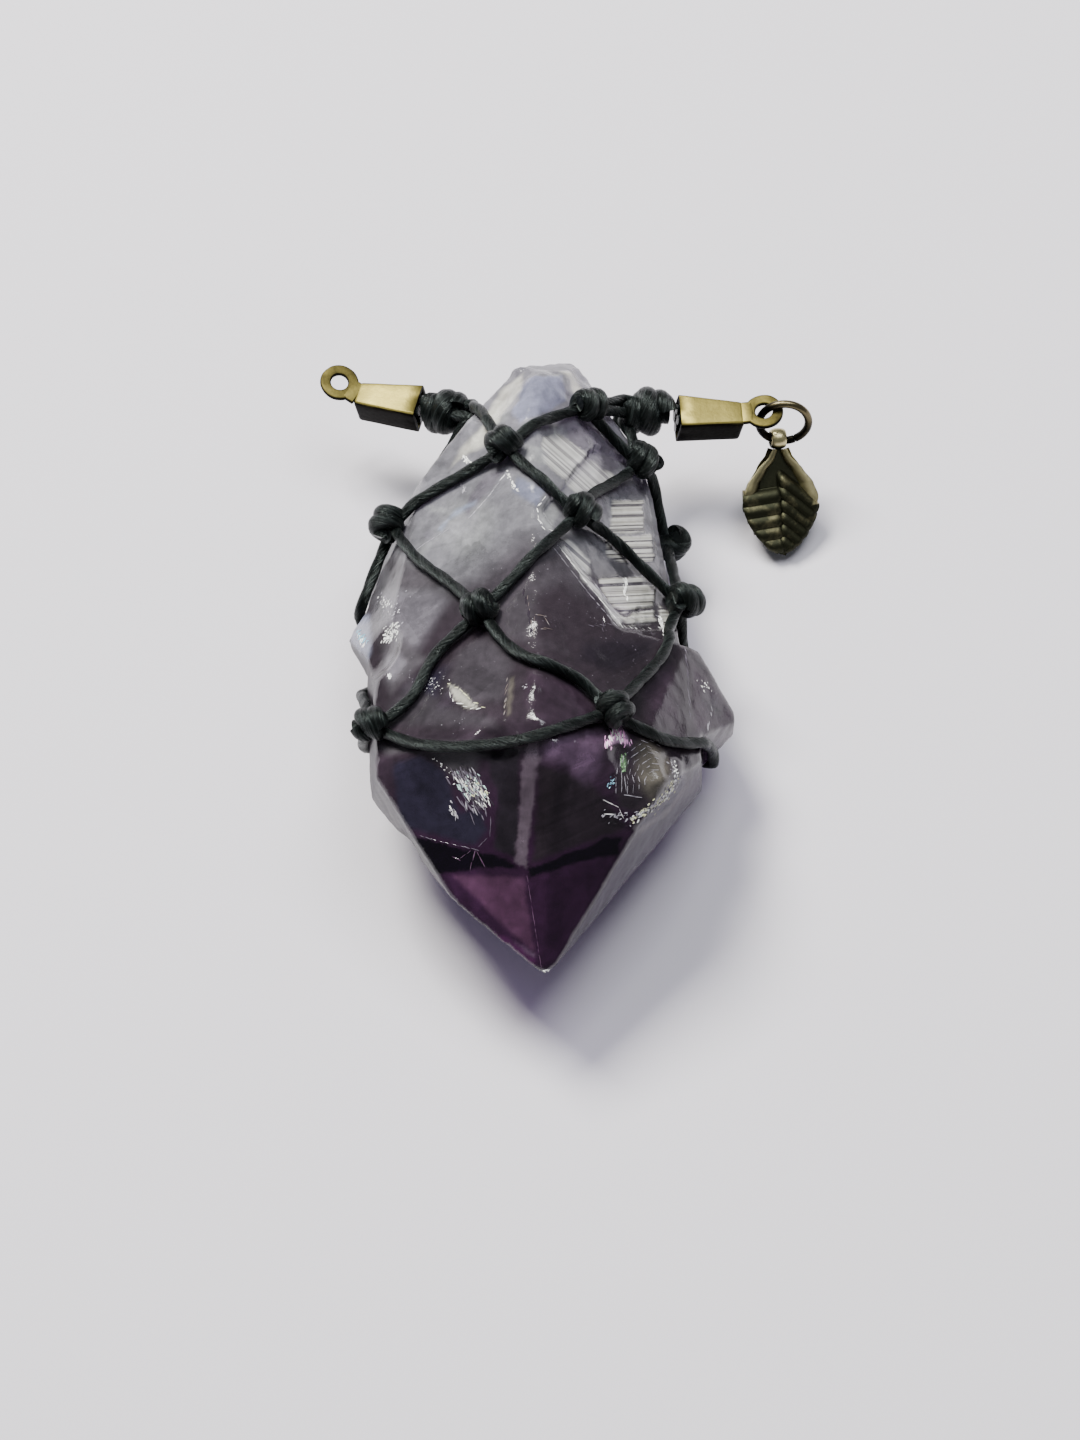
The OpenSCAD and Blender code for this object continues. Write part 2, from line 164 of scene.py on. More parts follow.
camera_data = bpy.data.cameras.new("camera")
camera_data.sensor_fit = "VERTICAL"
camera_data.sensor_height = SENSOR
camera_data.lens = LENS
camera_data.clip_start = 0.01
camera_data.clip_end = 20
camera = linked("camera", camera_data)
camera.location = (LOOK_AT + DISTANCE * TOWARDS_CAMERA) * MM
camera.rotation_euler = (-TOWARDS_CAMERA).to_track_quat("-Z", "Y").to_euler()
bpy.context.scene.camera = camera
print("Camera in mm:", [round(v / MM, 1) for v in camera.location])

# %% [markdown]
# ## The table and the light
# The table is a plain pale sheet, made of one grid. A large soft lamp stands behind and to
# the left, as a window does, so that the tops of the cord and the metal get long soft
# highlights. A second one hangs overhead, and the sky is an even dim grey that fills the shadows.

# %% The table and the light
TABLE_SIZE = 3000

table_finish, tree, shader = new_finish("pale matt board")
shader.inputs["Base Color"].default_value = linear("#cfccd2")
shader.inputs["Roughness"].default_value = 0.8
bm = bmesh.new()
bmesh.ops.create_grid(bm, x_segments=1, y_segments=1, size=TABLE_SIZE / 2)
table_mesh = mesh_of(bm, "table")
table_mesh.materials.append(table_finish)
table = linked("table", table_mesh)


def softbox(name, at, size, watts, colour):
    """A square lamp that looks at the middle of the object."""
    lamp = bpy.data.lights.new(name, "AREA")
    lamp.size = size * MM
    lamp.energy = watts
    lamp.color = linear(colour)[:3]
    holder = linked(name, lamp)
    holder.location = Vector(at) * MM
    holder.rotation_euler = (LOOK_AT - Vector(at)).to_track_quat("-Z", "Y").to_euler()


softbox("window", (-220, 275, 516), 230, 10, "#fffdf8")
softbox("overhead", (110, 130, 610), 320, 3.5, "#f6f8ff")

world = bpy.data.worlds.new("even sky")
world.use_nodes = True
world.node_tree.nodes.clear()
sky = add_node(world.node_tree, "ShaderNodeBackground", {"Color": linear("#dfe3ea"), "Strength": 0.22})
add_node(world.node_tree, "ShaderNodeOutputWorld", {"Surface": sky.outputs[0]})
bpy.context.scene.world = world
print("Lamps:", len(bpy.data.lights), "on a table of", TABLE_SIZE, "mm")

# %% [markdown]
# ## The raw stone
# A raw point grows as flat faces and breaks as shells, so it has planes, sharp chipped edges,
# bowls with ripples, and a few growth steps. The CAD node has the planes and the bowls.
# A copy is merged, then remeshed to small even quads. Every fine feature is then a small move
# of these points along their normals, as a sculptor's brush would do.

# %% Remesh the stone
VOXEL = 0.235


def merged_copy(node):
    """The CAD node's mesh as one closed bmesh in millimetres."""
    bm = bmesh.new()
    bm.from_mesh(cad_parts[node].data)
    bm.transform(Matrix.Scale(1 / MM, 4))
    bmesh.ops.remove_doubles(bm, verts=bm.verts, dist=0.002)
    return bm


def with_modifier(mesh, kind, **settings):
    """The mesh that one modifier makes of this mesh."""
    holder = linked("holder", mesh)
    modifier = holder.modifiers.new("step", kind)
    for name, value in settings.items():
        setattr(modifier, name, value)
    return finished_mesh(holder)


bm = merged_copy("stone")
rough_block = bpy.data.meshes.new("block")
bm.to_mesh(rough_block)
bm.free()
fine = with_modifier(rough_block, "REMESH", mode="VOXEL", voxel_size=VOXEL)
print("Stone faces after the remesh:", len(fine.polygons))

# %% [markdown]
# ## Marks on the stone
# Places on the front of the stone are given on a chart: x is the real x, and h runs up the
# front along a line that leans back 30 degrees. Planes and clouds inside the stone show as
# patches with sharp or soft borders. They are drawn as polygons in the colours of a small
# palette, and each one covers those before it. A few patches paint light instead: the two plum
# patches near the point are painted shade, and the pale rose and green ones are a painted
# rainbow sheen.

# %% Marks on the stone
PALETTE = {
    "milk": "#999a9c",
    "cloud": "#85848a",
    "lilac": "#7a767f",
    "blue": "#828599",
    "haze": "#565257",
    "dim": "#484349",
    "smoke": "#372f36",
    "dusk": "#2a242c",
    "brown": "#2b232a",
    "navy": "#2d293a",
    # plum is the painted shade of the dark band near the point
    "plum": "#0a0310",
    # deep is the painted shade of the walls that turn from the camera
    "deep": "#24102a",
    "ice": "#aab5cd",
    "veil": "#77737b",
    "pink": "#69526a",
    "mauve": "#433542",
    "wine": "#361c37",
    "rose": "#593853",
    "magenta": "#522450",
    "cream": "#bdbbae",
    "frost": "#d4d2c7",
    "slate": "#9295aa",
    "strip": "#6c5e6b",
    "shell": "#6b665d",
    "pale rose": "#c9a3c6",
    "green": "#6b8a66",
}
# Colour, width of the soft border in mm, corners on the chart
PATCHES = [
    ("cloud", 3, [(-15, 14), (-11, 20), (-6, 26), (3, 26), (7, 20), (8, 11), (3, 9), (-3, 12), (-6, 9),
                  (-15, 5)]),
    ("milk", 2, [(-11, 12.5), (-9.5, 16), (-6.5, 17.2), (-4.6, 15), (-5.2, 12), (-7, 10.5), (-9, 11)]),
    ("milk", 0.6, [(-6.6, 21), (-5.5, 24.2), (-3.6, 25.4), (-4.1, 23), (-4.4, 21.4)]),
    ("milk", 0.8, [(-3, 25.2), (-0.6, 25.8), (1, 24.3), (0.6, 23.4), (-1.2, 24.8)]),
    ("blue", 0.5, [(-4, 24.4), (-3.2, 25), (-1, 24.7), (-1.2, 23.5), (-2, 22), (-4, 21.2)]),
    ("lilac", 0.5, [(-0.8, 21.5), (1, 21.8), (4, 19.8), (4.3, 18.5), (3, 17.6), (0.2, 18.9), (-0.4, 20.4)]),
    ("cream", 0.3, [(-2, 20.4), (-0.9, 20.9), (1.3, 19.3), (3.8, 17.7), (3, 16.8), (0.6, 16.3),
                    (-1.4, 17.9), (-2.2, 18.8)]),
    ("milk", 0.2, [(-1.2, 21.6), (-0.8, 21.6), (-0.9, 20.1), (-1.4, 20.2)]),
    ("lilac", 0.5, [(1.2, 17), (3, 17.2), (6, 17.6), (6, 16.4), (3, 16.2), (2.6, 13.5), (1.6, 14.5)]),
    ("lilac", 0.4, [(-6.5, 17.8), (-4.6, 18.3), (-4.7, 17.5), (-7.5, 14.2), (-8, 15)]),
    ("blue", 0.4, [(-4, 17.6), (-1.6, 16.5), (-2.4, 14.9), (-4.4, 16.2)]),
    ("milk", 0.3, [(-10.7, 15.8), (-9, 15.2), (-8.3, 14.6), (-10.3, 14.7)]),
    ("milk", 0.8, [(-12.2, 11.2), (-11, 12.7), (-8.5, 14), (-8.8, 13), (-11, 11)]),
    ("milk", 0.3, [(-1.7, 16), (-2.4, 15), (-2.3, 14.2), (-1.9, 13.4), (-1.2, 13.3), (-0.6, 14.6),
                   (-0.5, 15.8)]),
    ("milk", 0.3, [(-7.1, 13.3), (-6.6, 13.3), (-6.5, 12), (-6.9, 11.9)]),
    ("frost", 0.5, [(-9.3, 17.6), (-8.2, 19.7), (-6.2, 21.9), (-5.5, 21), (-5.8, 19.9), (-7.8, 18.8)]),
    ("frost", 0.35, [(-6.7, 21.8), (-4.9, 24.5), (-3.3, 25.6), (-3.4, 23.9), (-4.5, 22.6), (-5.5, 21)]),
    ("slate", 0.2, [(-3.2, 25), (-0.6, 25.3), (-0.1, 23.2), (-1.5, 22.4), (-3.7, 21.4), (-4.4, 22.4),
                    (-3.3, 23.9)]),
    ("frost", 0.3, [(-1.1, 25.8), (0.3, 25.7), (1.3, 24), (1.2, 23.4), (0.2, 23.4), (-0.1, 24.8)]),
    ("milk", 0.2, [(-3.6, 20.2), (-1.6, 19.4), (-1.5, 18.2), (-3.3, 18.4)]),
    ("ice", 0.5, [(-9.8, 13.6), (-8.4, 15.2), (-6.6, 16), (-6.8, 15.2), (-8.6, 14.2), (-9.4, 13)]),
    ("veil", 1.2, [(-14, 9.5), (-13.7, 7), (-13.5, 4), (-10.5, 4.5), (-8, 8.5), (-9.5, 9.5)]),
    ("haze", 1, [(-14, 12), (-13.7, 9), (-12, 8.4), (-9, 8.6), (-8.5, 10.5), (-13, 12.2)]),
    ("dim", 1.2, [(-6, 10), (-0.5, 12.7), (1.6, 9.2), (0, 4), (-5, 5), (-6.6, 7)]),
    ("smoke", 1.5, [(-3.2, 9), (-0.5, 10.5), (1.6, 8.8), (3.7, 6.2), (7.3, 5.8), (7.5, 3.4), (5, 1.5),
                    (1, 3), (-3.5, 5)]),
    ("dusk", 1, [(0.5, 5.6), (3, 6), (6.4, 5.8), (6, 4), (3, 2.6), (0, 3.6)]),
    ("dim", 1, [(-9.5, 1.2), (-8.5, 5), (-5.5, 6.5), (-3.6, 4), (-4.4, 0.8), (-7, 0.4)]),
    ("navy", 1.4, [(-12.6, 2), (-10, 4), (-8, 4), (-9, 1), (-11, 0)]),
    ("haze", 0.8, [(-14.2, 6), (-11.6, 5.8), (-9.6, 4), (-11.4, 2.6), (-12.9, 1), (-13.6, 2.4)]),
    ("veil", 0.6, [(-13.6, 4.6), (-12, 4.8), (-11.4, 3.8), (-12.4, 2.4), (-13.2, 2.4)]),
    ("dim", 1, [(-13.4, 0.8), (-11.5, 3.2), (-9, 1.4), (-5, 0.2), (-4.6, -1.2), (-13, -1)]),
    ("mauve", 0.7, [(-3.4, 3.5), (0.5, 2.6), (2, 0.6), (1.5, -0.6), (-2.8, -1), (-3.6, 1)]),
    ("mauve", 1, [(4.6, 2.6), (7.6, 4.6), (8.2, 0), (8.6, -3), (5, -0.6)]),
    ("shell", 0.5, [(-4.8, -0.2), (-4.6, 2.8), (-3.8, 3), (-4.1, 0)]),
    ("cream", 0.15, [(-8.8, 2.4), (-7.8, 1.9), (-7, 1.1), (-6.1, 0.6), (-7.2, 0.6), (-8.3, 1.1)]),
    ("slate", 0.5, [(-16.4, 7.8), (-14.4, 7.6), (-14.1, 4.6), (-14.7, 3.6), (-16.4, 5.6)]),
    ("mauve", 0.8, [(8.4, 4.6), (9.6, 3.4), (12.2, 0.2), (11.8, -1.6), (9.6, -3.2), (8.4, -1.6)]),
    ("dim", 1, [(9, 3.6), (11.6, 1), (11.2, -0.6), (9.8, -0.4), (8.9, 1.6)]),
    ("haze", 0.6, [(-14.6, -1.6), (-5.4, -1.4), (-5.4, -3), (-8.2, -3.4), (-10.4, -2.4), (-13, -3)]),
    ("mauve", 0.8, [(-14.6, -3), (-12.6, -2.4), (-12.4, -6.5), (-13.8, -6)]),
    ("navy", 0.5, [(-12.8, -3.2), (-10.5, -2.4), (-8.6, -3.8), (-7.7, -6.5), (-6.2, -6.3), (-5.6, -8),
                   (-6.7, -9.3), (-12.3, -7.9)]),
    ("dusk", 0.4, [(-5.8, -1.8), (-3.4, -1.6), (-3.6, -10.2), (-5.6, -9.4), (-5.4, -7), (-5.3, -5.4),
                   (-6, -3.8)]),
    ("brown", 0.5, [(-2.5, -3), (1.4, -4.2), (3, -6.2), (4.2, -8), (2.6, -8.5), (-3, -10.5)]),
    ("pink", 1.2, [(-2.4, -0.8), (3, -0.6), (2.4, -4), (1, -5.4), (-1, -3.6), (-2.6, -3.4)]),
    ("smoke", 0.5, [(3.4, -1.6), (5, -0.8), (7, -2), (7.7, -3.8), (7, -5.6), (5, -7), (3.2, -6.6),
                    (2.8, -4.6)]),
    ("shell", 0.9, [(4.2, -1.6), (5.6, -1.1), (7, -2.4), (7.4, -3.8), (7, -5.2), (5.6, -6.3), (4.6, -5.4),
                    (4.1, -3.6)]),
    # The pale rose and green patches are a painted reflection, the rainbow sheen of a thin crack
    ("pale rose", 0.4, [(2.1, -2.3), (2.9, -0.4), (3.6, -0.4), (4.4, -2.2), (3.3, -2)]),
    ("green", 0.2, [(3.3, -2.5), (3.8, -2.6), (3.9, -3.9), (3.5, -3.9)]),
    ("haze", 0.8, [(-10.6, -2.2), (-8, -1.4), (-6, -2.4), (-6.4, -4), (-8.6, -4.4)]),
    ("veil", 0.7, [(-8.2, -3.6), (-7, -3.6), (-5.7, -5.2), (-5.6, -6), (-6.6, -6.8), (-7.4, -5.6)]),
    ("strip", 0.15, [(-2.9, -1.3), (-2.3, -1.3), (-2.25, -3), (-3.15, -10.6), (-4, -10.2), (-3.45, -3),
                     (-3.3, -2.5)]),
    ("wine", 0.4, [(-11, -10.4), (-3.1, -11), (3.2, -9.6), (9.4, -3.4), (9.6, -6), (-1.2, -19), (-4, -19)]),
    ("rose", 0.4, [(-8.8, -10.9), (-3.2, -11), (-2.4, -16.8), (-4.4, -15.2)]),
    ("magenta", 0.5, [(-5.4, -14.8), (-2.5, -16.6), (-2.2, -17.4), (-4, -17.9), (-6.4, -15.4)]),
    ("pink", 0.25, [(-4.4, -15.5), (-2.4, -16.5), (-2.4, -17), (-3.4, -16.5)]),
    ("mauve", 0.6, [(3.4, -9.2), (5, -7.4), (7.4, -5), (9.2, -3.4), (9.4, -5), (4.4, -11.5), (3.4, -11)]),
    ("milk", 0.5, [(-3.6, -17), (-2, -17.5), (-1, -17.2), (-1, -19), (-3.6, -19)]),
    # The two plum patches are painted shade: the dark band that the back faces show through the point
    ("plum", 0.15, [(-12.3, -8), (-6.7, -9.4), (-5.6, -9.5), (-3.2, -10.6), (-6, -10.6), (-10, -11.2)]),
    ("plum", 0.15, [(-3.1, -11.3), (-3, -10.5), (1, -9), (2.4, -8.3), (3.6, -8.3), (3.4, -9.8),
                    (1, -10.1), (-1, -10.6)]),
]
print("Patches:", len(PATCHES), "in", len(PALETTE), "colours")

# %% [markdown]
# ## Growth steps and streaks
# A growing crystal leaves level steps, a hair apart. Broken bands show them as striped pads in
# a sunk block, and two bands beside it are striped aslant. Planes inside the stone show faint
# brushed streaks. The borders are polygons on the same chart, and the material draws the
# stripes, a little coarser than they are on the stone, so that a picture can hold them.

# %% Growth steps and streaks
# Where fine striations run aslant, beside the growth steps
HATCHES = [
    [(-2, 20.4), (-0.9, 20.9), (1.3, 19.3), (3.8, 17.7), (3, 16.8), (0.6, 16.3), (-1.4, 17.9),
     (-2.2, 18.8)],
    [(-0.9, 12.7), (0, 13), (1.7, 11.4), (1.6, 10.1), (0.4, 10.9)],
    [(-1, 12.3), (1.4, 9), (3.6, 6.4), (4.1, 7), (1.9, 9.6), (-0.3, 12.4)],
]
# Where planes inside show as fine brushed streaks
BRUSHES = [
    [(-2.5, -2), (1.4, -2.6), (4, -5), (5.5, -8), (2.6, -8.6), (-3, -10.5)],
    [(-13, -1.5), (-9, -1.5), (-8, -3), (-13, -7)],
    [(-1, 3.5), (4, 6), (7, 5), (8, 0), (3, -1)],
]
# The sunk block with the growth steps, and the striped pads in it
STEP_BLOCK = [(-2.2, 14.8), (0.7, 10.5), (2.1, 8.8), (2.9, 7), (3.8, 6.1), (6.2, 6.1), (8.6, 6.3),
              (9.5, 17), (2, 20)]
STEP_PADS = [
    [(2.2, 10.2), (6.2, 10.4), (6.5, 9.6), (6.3, 8.1), (5, 7.8), (4, 7.4), (3.1, 8), (2.1, 9.5)],
    [(3.1, 7.9), (4, 7.3), (5, 7.7), (6.3, 8), (6.4, 6.9), (4.2, 6.6), (3.6, 6.9)],
    [(6.6, 8.3), (7.6, 7.6), (7.7, 6.4), (6.9, 6.6), (6.5, 7.8)],
    [(2.7, 13.2), (6.3, 13.6), (6.4, 11.4), (4.6, 11.2), (2.6, 11.6)],
    [(3.2, 16), (5.6, 16.2), (5.8, 13.6), (3, 13.3)],
]
# The rim of the place where a shell broke off
SHELL_RIM = [(7.3, -3.2), (7.4, -4.5), (6.4, -5.9), (4.3, -7.2), (2.2, -6.7)]
print("Striped pads:", len(STEP_PADS), "striped aslant:", len(HATCHES), "streaked:", len(BRUSHES))

# %% [markdown]
# ## Reading the chart
# A few small functions read the chart. They tell where a point of the stone lies on it, whether
# a polygon covers the place, and how near a border is. A covered place fades in from its border,
# so that a cloud gets a soft edge and a plane a sharp one.

# %% Reading the chart
CHART_Y, CHART_Z = 0.866, 0.5


def chart(p):
    """The place on the chart of a point in space."""
    return p.x, CHART_Y * p.y + CHART_Z * p.z


def smooth(low, high, value):
    """0 below low, 1 above high, and a soft step between."""
    t = min(1, max(0, (value - low) / (high - low)))
    return t * t * (3 - 2 * t)


def inside(polygon, x, h):
    """Whether the place on the chart lies in the polygon."""
    found = False
    for (x1, h1), (x2, h2) in zip(polygon, polygon[1:] + polygon[:1]):
        if (h1 > h) != (h2 > h) and x < x1 + (h - h1) * (x2 - x1) / (h2 - h1):
            found = not found
    return found


def to_line(line, x, h):
    """Distance on the chart from the place to a line of straight pieces."""
    best = 1e9
    for (x1, h1), (x2, h2) in zip(line, line[1:]):
        dx, dh = x2 - x1, h2 - h1
        t = min(1, max(0, ((x - x1) * dx + (h - h1) * dh) / (dx * dx + dh * dh)))
        best = min(best, math.hypot(x - x1 - t * dx, h - h1 - t * dh))
    return best


def boxed(polygon):
    """A polygon with its box, so that most places can be passed over quickly."""
    xs, hs = zip(*polygon)
    return polygon, min(xs), max(xs), min(hs), max(hs)


def cover(area, soft, x, h):
    """How far a place on the chart is covered: 1 inside the polygon, falling to 0 at its border."""
    polygon, x1, x2, h1, h2 = area
    if x1 < x < x2 and h1 < h < h2 and inside(polygon, x, h):
        return smooth(0, soft, to_line(polygon + polygon[:1], x, h))
    return 0


tones = {name: Vector(linear(colour)[:3]) for name, colour in PALETTE.items()}
patches = [(tones[name], soft, boxed(polygon)) for name, soft, polygon in PATCHES]
pads, hatches, brushes = ([boxed(polygon) for polygon in areas] for areas in (STEP_PADS, HATCHES, BRUSHES))


def plain_tone(y):
    """The colour where no patch is: violet at the point, grey in the middle, pale at the root."""
    return tones["wine"].lerp(tones["smoke"], smooth(-19, -9, y)).lerp(tones["cloud"], smooth(-2, 16, y))


for y in (-26, 0, 25):
    print("Plain tone at y =", y, "is", [round(c, 3) for c in plain_tone(y)])

# %% [markdown]
# ## Round the edges
# Years of handling and old chips have rounded the edges. The points are smoothed a little, and
# the difference tells where the edges were. The ridge between the two upper planes is rubbed
# much rounder. Before that the root leans a little to the right and the clear lobe moves out,
# because the plain planes of the construction model can't follow them there.

# %% Round the edges
RIDGE_X, RIDGE_HALF = -2.2, 2.6
LOBE, LOBE_R = (-15, 5.4), 2.4
ROOT_LEAN, LOBE_OUT = 0.8, 0.5
EDGE_PASSES, RIDGE_PASSES = 6, 60
# Share of the way back to the sharp place after the first rounding
KEPT_SHARP = 0.7


def smoothed(bm, verts, times):
    """Moves the points half way to the middle of their neighbours, several times."""
    for _ in range(times):
        bmesh.ops.smooth_vert(bm, verts=verts, factor=0.5, use_axis_x=True, use_axis_y=True, use_axis_z=True)


def shifted(bm):
    """Leans the root and moves the lobe out."""
    for v in bm.verts:
        v.co.x += ROOT_LEAN * smooth(19, 25, v.co.y)
        v.co.x -= LOBE_OUT * (1 - smooth(0, LOBE_R, math.dist(chart(v.co), LOBE)))


def rounded(bm):
    """Rounds the edges and the ridge, and gives back how far each point stood out before."""
    sharp = {v.index: v.co.copy() for v in bm.verts}
    smoothed(bm, bm.verts, EDGE_PASSES)
    edges = {v.index: (sharp[v.index] - v.co).dot(v.normal) for v in bm.verts}
    for v in bm.verts:
        v.co = v.co.lerp(sharp[v.index], KEPT_SHARP)
    on_top = [v for v in bm.verts if -13 < v.co.y < 22 and v.normal.z > 0.5]
    smoothed(bm, [v for v in on_top if abs(v.co.x - RIDGE_X) < RIDGE_HALF], RIDGE_PASSES)
    bm.normal_update()
    return edges


bm = bmesh.new()
bm.from_mesh(fine)
bm.verts.ensure_lookup_table()
bmesh.ops.recalc_face_normals(bm, faces=bm.faces)
shifted(bm)
edges = rounded(bm)
print("Points that stood out as edges:", sum(out > 0.05 for out in edges.values()))

# %% [markdown]
# ## Carve the stone
# Each point is moved along its normal: a broad wave, a fine one, chips out of the edges, a
# rough root, the sunk block with its terraces, and ripples where a shell broke off. Each point
# also keeps its colour, and how broken, stepped, striped, streaked or worn its place is. The
# side walls are worn dull. Where they turn from the camera their colour is painted darker,
# towards deep violet near the point: painted shade over the stone's own violet.

# %% Carve the stone
LAYERS = ("white", "steps", "hatched", "brushed", "worn")
BLOCK_DEPTH, TERRACE, TERRACE_RISE = 0.28, 0.8, 0.14
BELLY_Z = 2.45


def plain_move(p, edge, root):
    """How far a point moves where nothing else is: waves, chipped edges, a rough root and ridge."""
    move = 0.07 * noise.noise(p * 0.45) + 0.03 * noise.noise(p * 1.3)
    move -= edge * 0.3 * max(0, noise.noise(p * 1.1) + 0.15)
    move += 0.1 * root * noise.fractal(p * 0.8, 1, 2, 4)
    return move + 0.1 * (1 - smooth(0.5, 2, abs(p.x - RIDGE_X))) * noise.noise(p * 0.6)


def carve(bm):
    """Moves the points of the stone and writes what each place is made of."""
    layers = {name: bm.verts.layers.float.new(name) for name in LAYERS}
    paint = bm.verts.layers.float_vector.new("paint")
    moves = {}
    for v in bm.verts:
        p = v.co.copy()
        x, h = chart(p)
        grain = noise.noise(p * 1.7)
        edge = smooth(0.02, 0.13, edges[v.index])
        root = smooth(12, 21, p.y + 2 * noise.noise(p * 0.3))
        facing = smooth(0.0, 0.12, v.normal.dot(TOWARDS_CAMERA))
        seen = smooth(0.1, 0.45, v.normal.dot(TOWARDS_CAMERA))
        move = plain_move(p, edge, root)
        off_ridge = smooth(1, 2.2, abs(p.x - RIDGE_X)) if p.y > -13 else 1
        chipped = edge * seen * off_ridge * smooth(0.05, 0.5, grain) * smooth(-20, 4, p.y)
        white = 0.35 * chipped + 0.15 * root
        # Painted shade: where a wall turns from the camera its colour is painted darker, towards deep violet
        # near the point
        tone = plain_tone(p.y).lerp(tones["deep"], 0.8 * (1 - seen) * (1 - smooth(-12, 4, p.y)))
        steps = 0.08 * (1 - seen) * smooth(-0.1, 0.3, noise.noise(p * 0.25)) * smooth(-18, -8, p.y)
        hatched = brushed = 0
        if facing > 0:
            wx, wh = x + 0.15 * grain, h + 0.15 * noise.noise(p * 1.1)
            for colour, soft, area in patches:
                tone = tone.lerp(colour, facing * cover(area, soft, wx, wh))
            hatched = max(cover(area, 0.25, wx, wh) for area in hatches)
            brushed = max(cover(area, 1, wx, wh) for area in brushes)
        if facing > 0.5 and inside(STEP_BLOCK, x, h):
            move -= BLOCK_DEPTH * smooth(0, 0.35, to_line(STEP_BLOCK[:7], x, h))
            steps = max(cover(area, 0.2, wx, wh) for area in pads)
            move += steps * TERRACE_RISE * ((h / TERRACE + 0.15 * grain) % 1)
        shell = to_line(SHELL_RIM, x, h)
        if facing > 0.2 and shell < 1.6:
            move += 0.05 * math.sin(shell * 6) * (1 - smooth(0.6, 1.6, shell))
            white += 0.5 * (1 - smooth(0.05, 0.4, shell + 0.5 * abs(grain)))
        for name, value in zip(LAYERS, (min(1, max(0, white)), steps, hatched, brushed, 1 - seen)):
            v[layers[name]] = value
        v[paint] = tone
        moves[v.index] = move
    for v in bm.verts:
        v.co += v.normal * moves[v.index]
        v.co.z = max(v.co.z, BELLY_Z)


carve(bm)
stone_tree = BVHTree.FromBMesh(bm)
stone_mesh = mesh_of(bm, "amethyst_point")
print("Stone carved, triangles:", 2 * len(stone_mesh.polygons))

# %% [markdown]
# ## Amethyst: the cloudy inside
# Amethyst is quartz that iron and radiation have coloured violet. This point is deep violet
# only at its tip, and the rest is greyish and cloudy from fine cracks. The paint of each point
# is the middle tone. Noises make it lighter and darker: broad clouds, planes of old cracks,
# brushed streaks where they are marked, and pale wisps.

# %% Amethyst: the cloudy inside
CLOUD_SIZE, SHARD_SIZE, WISP_SIZE, FINE_GRAIN = 5, 4.2, 6, 0.7
# Stripes of the growth steps and streaks, coarser than on the stone, so that a picture shows them
STRIATION = 0.27
STEP_AXIS = (-0.09, 0.86, 0.49)
HATCH_AXIS = (0.66, 0.65, 0.375)
BRUSH_AXIS = (-0.42, 0.78, 0.45)
BEND = 2 * MM


def stripes(tree, place, axis, detail, roughness):
    """A noise that changes only along the axis, so that it draws level lines."""
    height = add_node(tree, "ShaderNodeVectorMath", {0: place, 1: axis}, operation="DOT_PRODUCT")
    look = {"Scale": 1 / (STRIATION * MM), "Detail": detail, "Roughness": roughness}
    inputs = {"W": height.outputs["Value"], **look}
    return add_node(tree, "ShaderNodeTexNoise", inputs, noise_dimensions="1D").outputs["Fac"]


amethyst, tree, shader = new_finish("amethyst, grown and broken")
place = add_node(tree, "ShaderNodeTexCoord").outputs["Object"]
marks = {name: add_node(tree, "ShaderNodeAttribute", attribute_name=name).outputs["Fac"] for name in LAYERS}
paint = add_node(tree, "ShaderNodeAttribute", attribute_name="paint").outputs["Vector"]
# Clouds of fine cracks, and planes of old cracks, each with its own tone
clouds = add_node(
    tree,
    "ShaderNodeTexNoise",
    {"Vector": place, "Scale": 1 / (CLOUD_SIZE * MM), "Detail": 8, "Roughness": 0.66, "Distortion": 0.9},
)
bent = add_node(
    tree,
    "ShaderNodeVectorMath",
    {0: clouds.outputs["Color"], 1: (BEND, BEND, BEND), 2: place},
    operation="MULTIPLY_ADD",
)
shards = add_node(
    tree, "ShaderNodeTexVoronoi", {"Vector": bent.outputs["Vector"], "Scale": 1 / (SHARD_SIZE * MM)}
)
cloud_share = add_node(
    tree,
    "ShaderNodeMapRange",
    {"Value": clouds.outputs["Fac"], "From Min": 0.3, "From Max": 0.7, "To Min": 0.62, "To Max": 1.4},
)
shard_share = add_node(
    tree, "ShaderNodeMapRange", {"Value": shards.outputs["Color"], "To Min": 0.78, "To Max": 1.2}
)
broad_share = add_node(
    tree, "ShaderNodeMath", {0: cloud_share.outputs[0], 1: shard_share.outputs[0]}, operation="MULTIPLY"
)
# A fine grain everywhere, and brushed streaks on top of it where they are marked
fine_grain = add_node(
    tree,
    "ShaderNodeTexNoise",
    {"Vector": place, "Scale": 1 / (FINE_GRAIN * MM), "Detail": 4, "Roughness": 0.6},
)
fine_share = add_node(
    tree,
    "ShaderNodeMapRange",
    {"Value": fine_grain.outputs["Fac"], "From Min": 0.3, "From Max": 0.7, "To Min": 0.8, "To Max": 1.22},
)
streaks = stripes(tree, place, BRUSH_AXIS, 3, 0.7)
streak_depth = add_node(tree, "ShaderNodeMath", {0: streaks, 1: -0.5}, operation="ADD")
streak_share = add_node(
    tree,
    "ShaderNodeMath",
    {0: streak_depth.outputs[0], 1: marks["brushed"], 2: fine_share.outputs[0]},
    operation="MULTIPLY_ADD",
)
share = add_node(
    tree, "ShaderNodeMath", {0: broad_share.outputs[0], 1: streak_share.outputs[0]}, operation="MULTIPLY"
)
cloudy = add_node(tree, "ShaderNodeVectorMath", {0: paint, "Scale": share.outputs[0]}, operation="SCALE")
